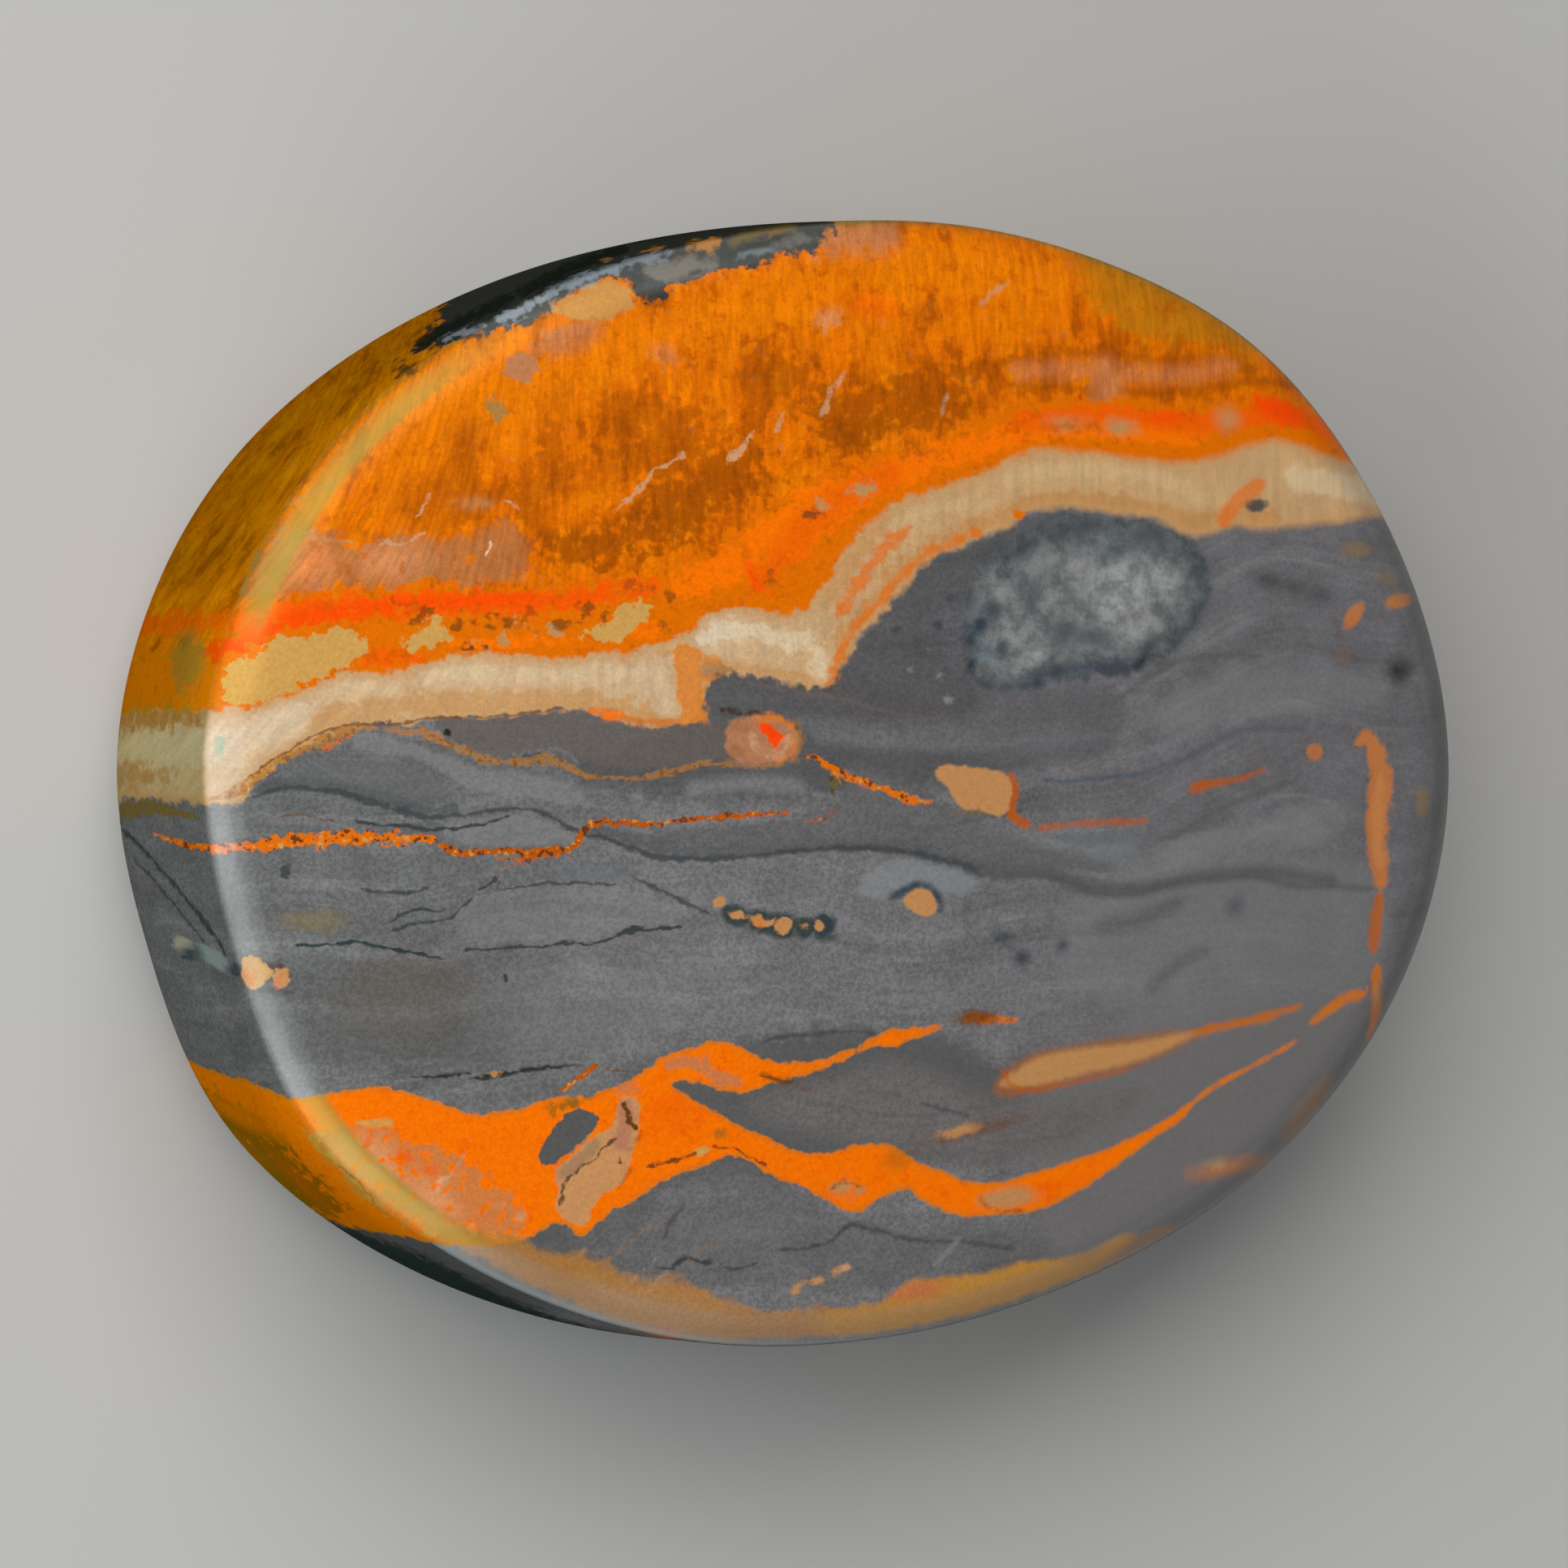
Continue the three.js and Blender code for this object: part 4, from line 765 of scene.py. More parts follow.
NETWORK_MOSAIC = [
    patch(rgb(200, 122, 68), [(-25, -15.5), (-23.5, -15.2), (-22, -15.4), (-21.3, -15.8), (-21, -16.2),
        (-19, -16.3), (-18.6, -17), (-16.6, -18), (-15.4, -19.8), (-16.2, -20.4), (-18, -20.6), (-20, -20.2),
        (-22, -19.1), (-23.7, -17.8), (-24.8, -16.6)], 0.8),
    patch(rgb(212, 146, 96), [(-24.6, -15.7), (-22.6, -15.6), (-21.6, -16.4), (-21.4, -17.6), (-22.6, -18),
        (-24, -17.2)], 0.6),
    spot(rgb(212, 146, 98), -19.8, -18.6, 1.4, 0.7, -40, 0.6, 0.9),
]
NETWORK_WASHES = [
    patch(OCHRE_DARK, [(-40, -14), (-31, -14.2), (-28.8, -14.9), (-26.6, -16.6), (-22.4, -20.9),
        (-40, -20.9)], 0.9, 0.85),
    spot(OLIVE, -28.5, -17.4, 1.6, 0.6, -40, 0.5, 0.7), spot(ORANGE, -29, -15.2, 1.8, 0.4, -15, 0.5, 0.7),
    spot(ORANGE_BROWN, -25.8, -18.4, 1.8, 0.3, -45, 0.4, 0.8),
    *spots(CREAM_TAN, (-24.7, -16.1, 0.9, 0.35, -40, 0.35, 0.9), (-22.6, -18.4, 1.2, 0.3, -40, 0.35, 0.6)),
    spot(TAN_PALE, -18, -20.2, 2.2, 0.25, -8, 0.35, 0.8),
    patch(PINK, [(-9.3, -12.6), (-7.6, -12.2), (-7.2, -12.3), (-6.3, -13.1), (-5.6, -13.3), (-5.2, -13.7),
        (-6, -13.8), (-6.8, -13.5), (-7.4, -13), (-8.2, -12.8), (-9, -12.8)], 0.25, 0.75),
    spot(OLIVE, -13.6, -14.3, 0.9, 0.24, 15, 0.35, 0.8), spot(PINK, -10.9, -13.6, 0.5, 0.5, 0, 0.4, 0.7),
    *spots(RED_ORANGE, (-9, -15, 1.4, 1, 0, 0.8, 0.5), (9, -19, 2.4, 0.4, 15, 0.5, 0.5)),
    spot(PINK, -0.4, -18.5, 0.8, 0.4, 0, 0.35, 0.4),
]
NETWORK_DETAIL = [
    patch(TAN_PALE, [(-23.6, -14.85), (-21.5, -14.95), (-22, -15.25), (-23.2, -15.3)], 0.1, 0.85),
    patch(rgb(158, 124, 94), [(-14.2, -17.5), (-12.4, -15.9), (-12.1, -16.2), (-12.6, -16.9),
        (-14, -18)], 0.12, 0.8),
    patch(rgb(176, 112, 92), [(-11.2, -14.1), (-10.7, -14.2), (-10.5, -15), (-10.6, -16), (-11, -16.6),
        (-11.6, -16.4), (-11.3, -15.4)], 0.15, 0.7),
    band(BROWN, [(-1.1, -18.5), (-0.6, -18.15), (0, -18.2), (0.7, -18.6)], 0.06, 0.07, 0.7),
    band(BROWN, [(6.3, -19), (6.5, -19.5), (7.4, -19.75), (8.4, -19.7)], 0.07, 0.09, 0.7),
    band(BROWN, [(-10.1, -14.6), (-10.2, -15.6), (-10.6, -16.6), (-10.7, -17.6),
        (-11.4, -18.4)], 0.05, 0.08, 0.4),
    *spots(PINK_PALE, (-15.8, -19.4, 0.3, 0.22, 0, 0.12, 0.8), (-16.8, -18.9, 0.24, 0.16, 0, 0.12, 0.7),
        (-19.2, -17.6, 0.7, 0.1, 50, 0.1, 0.8), (-18.6, -16.8, 0.6, 0.08, 60, 0.1, 0.6)),
    spot(WHITE, -19.6, -17.9, 0.3, 0.1, 60, 0.1, 0.6),
    *spots(RED_ORANGE, (-21.2, -16.6, 0.3, 0.4, 0, 0.2, 0.8), (-22.9, -16, 0.18, 0.5, -15, 0.15, 0.8),
        (-20, -17.2, 0.3, 0.24, 0, 0.2, 0.7)),
]
NETWORK_CRACKS = [
    line(BROWN_DARK, [(-13.9, -18.9), (-13.9, -18.2), (-13.6, -17.7), (-12.3, -16.8), (-12.1, -16.4),
        (-11.7, -16.1), (-11.4, -16)], 0.08, 0.8),
    line(BROWN, [(-11, -14.4, 0.12), (-10.95, -14.9, 0.15), (-10.5, -15.6, 0.08)]),
    line(BROWN, [(-11.3, -16.8), (-11.2, -17.1)], 0.06),
    line(BROWN_DARK, [(-9.9, -17.2), (-9.2, -17.15), (-8, -16.9), (-7.6, -16.7)], 0.09, 0.8),
    line(BROWN_DARK, [(-6.8, -16.4), (-6, -16.5), (-5.4, -16.7), (-4.6, -17.1), (-4.2, -17.4)], 0.05, 0.8),
    line(BROWN, [(-4.6, -13.25), (-3, -13.6)], 0.08, 0.8),
    line(BROWN, [(-24.2, -17), (-23, -17.9), (-22.4, -18.8)], 0.05, 0.6),
]
# Ochre skin along the bottom edge.
BOTTOM_OCHRE = [
    patch(rgb(182, 122, 46), [(-20, -19.9), (-17, -20.1), (-15.6, -20.4), (-15, -20.9), (-14, -21.2),
        (-12.8, -21.1), (-10.4, -22.4), (-9.4, -22.5), (-8.6, -22.2), (-4.4, -24.2), (-1.6, -23.9),
        (-0.4, -24.1), (0.4, -25.1), (-3, -25.4), (-8.7, -25.4), (-13.6, -23.3), (-19, -20.6)], 0.6, 0.75),
    patch(rgb(190, 134, 64), [(-13, -21.8), (-11, -22.8), (-9.6, -23.2), (-8.2, -23.2), (-4.6, -24.6),
        (-6.6, -24.9), (-9, -24.7), (-12.8, -22.8)], 0.5, 0.7),
    patch(rgb(190, 134, 50), [(-1.4, -24.2), (1.6, -23.8), (2.5, -23.4), (2.8, -22.9), (3.6, -22.7),
        (4.6, -22.8), (7.2, -22.5), (9, -22), (10.2, -22.1), (12, -22), (13.4, -20.9), (14.4, -21.2),
        (12.4, -22.6), (10, -23.5), (5, -24.8), (1, -25.3), (-1.4, -25.2)], 0.5, 0.9),
    *spots(ORANGE, (3.4, -23.3, 1, 0.3, 8, 0.4, 0.6), (-8.6, -25, 0.4, 0.3, 0, 0.2, 0.6)),
    band(GREY_PALE, [(4.2, -22.1), (5.4, -20.9)], 0.12, 0.2, 0.6),
    band(CREAM_TAN, [(-13.2, -21.4), (-12.2, -20.5)], 0.03, 0.1, 0.6),
    band(CREAM_TAN, [(-10.6, -22.6), (-9.2, -21.3)], 0.03, 0.1, 0.6),
    band(CREAM_TAN, [(-9.8, -23), (-8.8, -22)], 0.03, 0.1, 0.5),
    band(OCHRE, [(-11.8, -21.6), (-10.4, -20.4), (-9.2, -19.6)], 0.05, 0.25, 0.4),
    band(OCHRE, [(-8.6, -22.4), (-7.4, -21.2), (-6.2, -20.6)], 0.05, 0.25, 0.35),
]

# Every layer of the drawing, by the kind of field that carries it to the material. Lists that lie
# far apart share a layer.
AREA_LAYERS = {
    "lenses": GREY_LENSES, "druse_darks": DRUSE_DARKS, "calcite": [patch(ORANGE, CALCITE, 0.3)],
    "red_band": RED_BAND, "tans": TAN_PATCHES, "specks": BROWN_SPECKS,
    "cream": [patch(CREAM, CREAM_BAND, 0.12)], "top_vein": TOP_VEIN, "network": NETWORK,
    "halos": HALOS + NETWORK_PARTS, "clasts": CLASTS + NETWORK_DETAIL, "eyes": CLAST_EYES + TOP_VEIN_DETAIL,
}
WASH_LAYERS = {
    "shades": GREY_SHADES, "clouds": DRUSE + CALCITE_TINTS_AND_SHADE, "reds": RED_STREAKS,
    "cores": CREAM_CORES + NETWORK_WASHES, "fringe": CREAM_FRINGE, "mosaic": NETWORK_MOSAIC,
    "bottom": STAINS_AND_PAINTED_SHADE + BOTTOM_OCHRE,
}
LINE_LAYERS = {
    "seams": SEAMS, "cracks": CRACKS, "faint": OCHRE_RIM + FAINT_THREADS, "threads": THREADS + RIGHT_VEINS,
    "dots": BROWN_DOTS + RIGHT_VEIN_CORES, "wisps": WISPS + NETWORK_CRACKS,
}


def spline_weights(f):
    """Weights of four neighbouring control values of a uniform cubic B-spline."""
    g = 1 - f
    inner = (3 * f ** 3 - 6 * f ** 2 + 4) / 6, (-3 * f ** 3 + 3 * f ** 2 + 3 * f + 1) / 6
    return (g ** 3 / 6, *inner, f ** 3 / 6)


def outline_radius(angles):
    radii = np.array(OUTLINE_RADII)
    place = angles / (2 * math.pi) * len(radii)
    first = np.floor(place).astype(int)
    weights = spline_weights(place - first)
    return sum(w * radii[(first + i - 1) % len(radii)] for i, w in enumerate(weights))


def flare_at(angles):
    return FLARE + EXTRA_FLARE_AT_LEFT_END * np.maximum(0, -np.cos(angles)) ** 2


def profile_point(t):
    """Inset, height and share of the flare, t from 0 at the face to 1 at the base."""
    points = np.array(EDGE_PROFILE)
    points = np.vstack([2 * points[0] - points[1], points, 2 * points[-1] - points[-2]])
    spans = len(EDGE_PROFILE) - 1
    first = min(int(t * spans), spans - 1)
    weights = spline_weights(t * spans - first)
    return sum(w * points[first + i] for i, w in enumerate(weights))


def ring(count, height, inset, flare, share=1.0):
    """Points around the stone at a share of the way out to the outline less the inset."""
    angles = np.arange(count) * 2 * math.pi / count
    radii = share * (outline_radius(angles) + flare * flare_at(angles) - inset)
    return np.stack([radii * np.cos(angles), radii * np.sin(angles), np.full(count, height)], axis=1)


def stone_rings():
    """Rings from the top point over the face, down the edge and in under the base."""
    rim_inset, rim_height, _ = profile_point(0)
    rings = []
    for i in range(FACE_RINGS):
        share = i / FACE_RINGS
        height = rim_height + FACE_CROWN * (1 - share ** 2)
        rings.append(ring(max(1, 6 * i), height, rim_inset, 0, share))
    for i in range(EDGE_RINGS):
        inset, height, flare = profile_point(i / (EDGE_RINGS - 1))
        rings.append(ring(6 * FACE_RINGS, height, inset, flare))
    base_inset = EDGE_PROFILE[-1][0]
    for i in range(BASE_RINGS - 1, -1, -1):
        rings.append(ring(max(1, 6 * i), 0.0, base_inset, 1, i / BASE_RINGS))
    return rings


def stitch(upper_start, upper_count, lower_start, lower_count):
    """Triangles between two rings, the upper or inner one first, facing outwards."""
    upper_steps = upper_count if upper_count > 1 else 0
    lower_steps = lower_count if lower_count > 1 else 0
    faces = []
    i = j = 0
    while i < upper_steps or j < lower_steps:
        upper_is_behind = (i + 1) * lower_count <= (j + 1) * upper_count
        a = upper_start + i % upper_count
        b = lower_start + j % lower_count
        if i < upper_steps and (j >= lower_steps or upper_is_behind):
            i += 1
            faces.append((a, b, upper_start + i % upper_count))
        else:
            j += 1
            faces.append((a, b, lower_start + j % lower_count))
    return faces


def stone_shape():
    """Vertices in millimetres, with the origin under the middle of the box, and triangles."""
    rings = stone_rings()
    starts = np.cumsum([0] + [len(r) for r in rings])
    faces = []
    for k in range(len(rings) - 1):
        faces += stitch(starts[k], len(rings[k]), starts[k + 1], len(rings[k + 1]))
    points = np.vstack(rings)
    middle = (points.min(axis=0) + points.max(axis=0)) / 2
    points[:, :2] -= middle[:2]
    return points, faces


def pattern_places(points):
    """Where each point lies in the drawing, and its depth below the rim."""
    depth = np.maximum(0, RIM_HEIGHT - points[:, 2])
    x = points[:, 0] - LEAN * depth
    wander = np.sin(points[:, 0] * 0.13 + 0.6) + 0.5 * np.sin(points[:, 0] * 0.31)
    y = points[:, 1] + BASE_SHIFT * (depth / RIM_HEIGHT) ** 6 * wander
    return np.stack([x, y, depth], axis=1)


def fibre_places(places):
    """Coordinates across and along the calcite's fibres, which fan out towards the left."""
    x, y, depth = places.T
    fan = FAN_LEAN * np.clip((FAN_START - x) / FAN_RUN, 0, 1)
    return np.stack([x - fan * (y - FAN_MIDDLE), y, depth], axis=1)


def lamina_places(places):
    """Coordinates along and across the grey rock's layers, which rise to the right."""
    x, y, depth = places.T
    climb = np.clip((x - CLIMB_START) / CLIMB_RUN, 0, 1)
    climb = CLIMB_RISE * climb ** 2 * (3 - 2 * climb)
    fade = np.clip((y - CLIMB_FOOT) / CLIMB_FADE, 0, 1)
    waves = 0.5 * np.sin(x * 0.22 + 1) + 0.25 * np.sin(x * 0.53)
    return np.stack([x, y - climb * fade + waves, depth], axis=1)


def rounded(points, closed, rounds=2):
    """A drawn line with its corners cut, so that it runs smoothly."""
    drawn = np.array(points, float)
    for _ in range(rounds):
        here = drawn if closed else drawn[:-1]
        after = np.roll(drawn, -1, axis=0) if closed else drawn[1:]
        cut = np.stack([0.75 * here + 0.25 * after, 0.25 * here + 0.75 * after], axis=1)
        cut = cut.reshape(-1, drawn.shape[1])
        drawn = cut if closed else np.vstack([drawn[:1], cut, drawn[-1:]])
    return drawn


def depth_in_patch(x, y, outline):
    """Distance to an outline, positive inside it."""
    nearest = np.full(len(x), np.inf)
    inside = np.zeros(len(x), bool)
    for (ax, ay), (bx, by) in zip(outline, np.roll(outline, -1, axis=0)):
        run, rise = bx - ax, by - ay
        length = run * run + rise * rise
        if length == 0:
            continue
        t = np.clip(((x - ax) * run + (y - ay) * rise) / length, 0, 1)
        nearest = np.minimum(nearest, (x - ax - t * run) ** 2 + (y - ay - t * rise) ** 2)
        if rise:
            inside ^= ((ay > y) != (by > y)) & (x < run * (y - ay) / rise + ax)
    return np.where(inside, 1, -1) * np.sqrt(nearest)


def depth_in_spot(x, y, shape):
    """Nearly the distance to the rim of an oval, positive inside it."""
    centre_x, centre_y, long, short, turn = shape
    along = (x - centre_x) * math.cos(turn) + (y - centre_y) * math.sin(turn)
    across = (y - centre_y) * math.cos(turn) - (x - centre_x) * math.sin(turn)
    return (1 - np.hypot(along / long, across / short)) * min(long, short)


def line_field(x, y, points):
    """Signed distance from a drawn line, and the line's half-width there, which tapers past its ends."""
    nearest = np.full(len(x), np.inf)
    offset = np.zeros(len(x))
    width = np.zeros(len(x))
    last = len(points) - 2
    for i, ((ax, ay, aw), (bx, by, bw)) in enumerate(zip(points[:-1], points[1:])):
        length = math.hypot(bx - ax, by - ay)
        if length == 0:
            continue
        run, rise = (bx - ax) / length, (by - ay) / length
        along = (x - ax) * run + (y - ay) * rise
        side = (y - ay) * run - (x - ax) * rise
        clamped = np.clip(along, 0, length)
        past = np.zeros(len(x))
        if i == 0:
            past += np.maximum(0, -along)
        if i == last:
            past += np.maximum(0, along - length)
        squared = (along - clamped) ** 2 + side ** 2
        closer = squared < nearest
        nearest = np.where(closer, squared, nearest)
        magnitude = np.sqrt(np.maximum(0, squared - past ** 2))
        offset = np.where(closer, np.copysign(magnitude, side), offset)
        width = np.where(closer, aw + (bw - aw) * clamped / length - past, width)
    return offset, width


def shape_near(shape, places):
    """Vertices near a drawn shape, and the smoothed shape."""
    margin = max(AREA_MARGIN, 2 * shape["soft"])
    if shape["kind"] == "spot":
        drawn = shape["points"]
        x, y, long, short, _ = drawn
        reach = max(long, short) + margin
        low, high = (x - reach, y - reach), (x + reach, y + reach)
    else:
        drawn = rounded(shape["points"], shape["kind"] == "patch")
        reach = margin + (drawn[:, 2].max() if drawn.shape[1] > 2 else 0)
        low = drawn[:, :2].min(axis=0) - reach
        high = drawn[:, :2].max(axis=0) + reach
    x, y = places[:, 0], places[:, 1]
    near = np.flatnonzero((x > low[0]) & (x < high[0]) & (y > low[1]) & (y < high[1]))
    return near, drawn


def area_depths(shapes, places):
    """Each shape with the vertices near it and their depths in it."""
    for shape in shapes:
        near, drawn = shape_near(shape, places)
        x, y = places[near, 0], places[near, 1]
        if shape["kind"] == "patch":
            depth = depth_in_patch(x, y, drawn)
        elif shape["kind"] == "spot":
            depth = depth_in_spot(x, y, drawn)
        else:
            offset, width = line_field(x, y, drawn)
            depth = width - np.abs(offset)
        yield shape, near, depth


def edge_blur(places):
    """The layers' edges are crisp at the left and grade into each other towards the right."""
    return 1 + BLUR_GAIN * np.clip((places[:, 0] - BLUR_START) / BLUR_RUN, 0, 1)


def empty_layer(shapes, places, first, second):
    """Fields of a layer that covers nothing yet, and each vertex's best score so far."""
    edge = np.tile(np.array((first, second, 0.0)), (len(places), 1))
    tint = np.tile(np.array(shapes[0]["colour"]), (len(places), 1))
    return edge, tint, np.full(len(places), -FAR)


def area_layer(shapes, places):
    """For each vertex: depth in the deepest area, its softness and strength; and its colour."""
    edge, tint, score = empty_layer(shapes, places, -FAR, CRISP)
    for shape, near, depth in area_depths(shapes, places):
        better = depth / shape["soft"] > score[near]
        chosen = near[better]
        score[chosen] = depth[better] / shape["soft"]
        edge[chosen, 0] = depth[better]
        edge[chosen, 1] = shape["soft"]
        edge[chosen, 2] = shape["strength"]
        tint[chosen] = shape["colour"]
    edge[:, 1] *= edge_blur(places)
    return edge, tint


def wash_layer(shapes, places):
    """For each vertex: cover and strength of all soft areas laid over each other; and their colour."""
    cover = np.zeros(len(places))
    strength = np.zeros(len(places))
    tint = np.zeros((len(places), 3))
    for shape, near, depth in area_depths(shapes, places):
        share = np.clip(depth / shape["soft"] * 0.5 + 0.5, 0, 1)
        share = share ** 2 * (3 - 2 * share)
        cover[near] = cover[near] * (1 - share) + share
        strength[near] = strength[near] * (1 - share) + share * shape["strength"]
        tint[near] = tint[near] * (1 - share)[:, None] + share[:, None] * np.array(shape["colour"])
    whole = np.maximum(cover, 0.001)
    return np.stack([cover, strength / whole, cover * 0], axis=1), tint / whole[:, None]


def line_layer(shapes, places):
    """For each vertex: signed distance from the nearest line, its half-width and strength; and its colour."""
    edge, tint, score = empty_layer(shapes, places, FAR, -1.0)
    for shape in shapes:
        near, drawn = shape_near(shape, places)
        offset, width = line_field(places[near, 0], places[near, 1], drawn)
        depth = width - np.abs(offset)
        better = depth > score[near]
        chosen = near[better]
        score[chosen] = depth[better]
        edge[chosen, 0] = offset[better]
        edge[chosen, 1] = np.where(depth[better] > -LINE_MARGIN, width[better], -1.0)
        edge[chosen, 2] = shape["strength"]
        tint[chosen] = shape["colour"]
    return edge, tint


def add_field(mesh, name, values):
    attribute = mesh.attributes.new(name, "FLOAT_VECTOR", "POINT")
    attribute.data.foreach_set("vector", values.astype(np.float32).ravel())


def add_layers(mesh, places):
    """Stores every layer of the drawing on the mesh, and hands back the fields of their edges."""
    edges = {}
    for layers, make in ((AREA_LAYERS, area_layer), (WASH_LAYERS, wash_layer), (LINE_LAYERS, line_layer)):
        for name, shapes in layers.items():
            edges[name], tint = make(shapes, places)
            add_field(mesh, name + "_edge", edges[name])
            add_field(mesh, name + "_tint", tint)
    return edges


def dents(points, edges):
    """How far each vertex is pushed in: polishing waves, grooves of cracks and threads, and dark pits."""
    x, y, z = points.T
    waves = np.sin(x * 0.31 + 1.3) * np.sin(y * 0.27 + 0.4) + np.sin(x * 0.17 - y * 0.21 + 2.2)
    push = POLISH_WAVE * (2 + waves) / 4
    for name in ("cracks", "threads", "seams", "wisps"):
        offset, width, strength = edges[name].T
        groove = np.clip((width - np.abs(offset)) / GROOVE_EDGE + 0.5, 0, 1)
        push += GROOVE_DEPTH * groove * strength
    depth, soft, strength = edges["druse_darks"].T
    push += PIT_DEPTH * np.clip(depth / soft, 0, 1) * strength
    push[z < FOOT_HEIGHT] = 0
    return push


def build_stone(material):
    points, faces = stone_shape()
    mesh = bpy.data.meshes.new("jasper_stone")
    mesh.from_pydata((points * MM).tolist(), [], faces)
    mesh.update()
    places = pattern_places(points)
    add_field(mesh, "place", places)
    add_field(mesh, "fibre", fibre_places(places))
    add_field(mesh, "lamina", lamina_places(places))
    edges = add_layers(mesh, places)
    normals = np.empty(len(points) * 3, np.float32)
    mesh.vertex_normals.foreach_get("vector", normals)
    normals = normals.reshape(-1, 3)
    add_field(mesh, "facing", normals)
    moved = points - dents(points, edges)[:, None] * normals
    mesh.vertices.foreach_set("co", (moved * MM).astype(np.float32).ravel())
    mesh.polygons.foreach_set("use_smooth", np.ones(len(faces), bool))
    mesh.materials.append(material)
    mesh.update()
    stone = bpy.data.objects.new("jasper_stone", mesh)
    bpy.context.collection.objects.link(stone)
    return stone


class Shader:
    """Short names for the nodes of one material. A value is a socket or a plain number or colour."""

    def __init__(self, name):
        self.material = bpy.data.materials.new(name)
        self.material.use_nodes = True
        self.tree = self.material.node_tree
        self.surface = self.tree.nodes["Principled BSDF"]

    def node(self, kind, inputs=(), **settings):
        """A new node, with its settings and its inputs by name or number."""
        made = self.tree.nodes.new(kind)
        for key, value in settings.items():
            setattr(made, key, value)
        for key, value in dict(inputs).items():
            self.plug(made.inputs[key], value)
        return made

    def plug(self, socket, value):
        if isinstance(value, bpy.types.NodeSocket):
            self.tree.links.new(value, socket)
        elif socket.type == "RGBA":
            socket.default_value = (*value, 1.0)
        else:
            socket.default_value = value

    def field(self, name):
        return self.node("ShaderNodeAttribute", attribute_name=name).outputs["Vector"]

    def split(self, vector):
        return tuple(self.node("ShaderNodeSeparateXYZ", {0: vector}).outputs)

    def math(self, operation, *values):
        return self.node("ShaderNodeMath", enumerate(values), operation=operation).outputs[0]

    def product(self, *values):
        """All the values multiplied."""
        result = values[0]
        for value in values[1:]:
            result = self.math("MULTIPLY", result, value)
        return result

    def vector(self, operation, *values):
        return self.node("ShaderNodeVectorMath", enumerate(values), operation=operation).outputs[0]

    def scaled(self, colour, factor):
        made = self.node("ShaderNodeVectorMath", {0: colour, "Scale": factor}, operation="SCALE")
        return made.outputs[0]

    def ramp(self, value, low, high, start=0.0, end=1.0):
        """Smooth rise from start to end as the value goes from low to high."""
        inputs = {"Value": value, "From Min": low, "From Max": high, "To Min": start, "To Max": end}
        return self.node("ShaderNodeMapRange", inputs, interpolation_type="SMOOTHSTEP").outputs[0]

    def mix(self, under, over, share):
        return self.node("ShaderNodeMix", {0: share, 6: under, 7: over}, data_type="RGBA").outputs[2]

    def mix_value(self, low, high, share):
        return self.node("ShaderNodeMix", {0: share, 2: low, 3: high}, data_type="FLOAT").outputs[0]

    def noise(self, name, place, colour=False):
        """One of the named noises, in 0 to 1."""
        scale, offset, detail, roughness = NOISES[name]
        moved = self.vector("MULTIPLY_ADD", place, scale, (offset, offset * 0.7, offset * 1.3))
        inputs = {"Vector": moved, "Scale": 1.0, "Detail": detail, "Roughness": roughness}
        return self.node("ShaderNodeTexNoise", inputs).outputs["Color" if colour else 0]


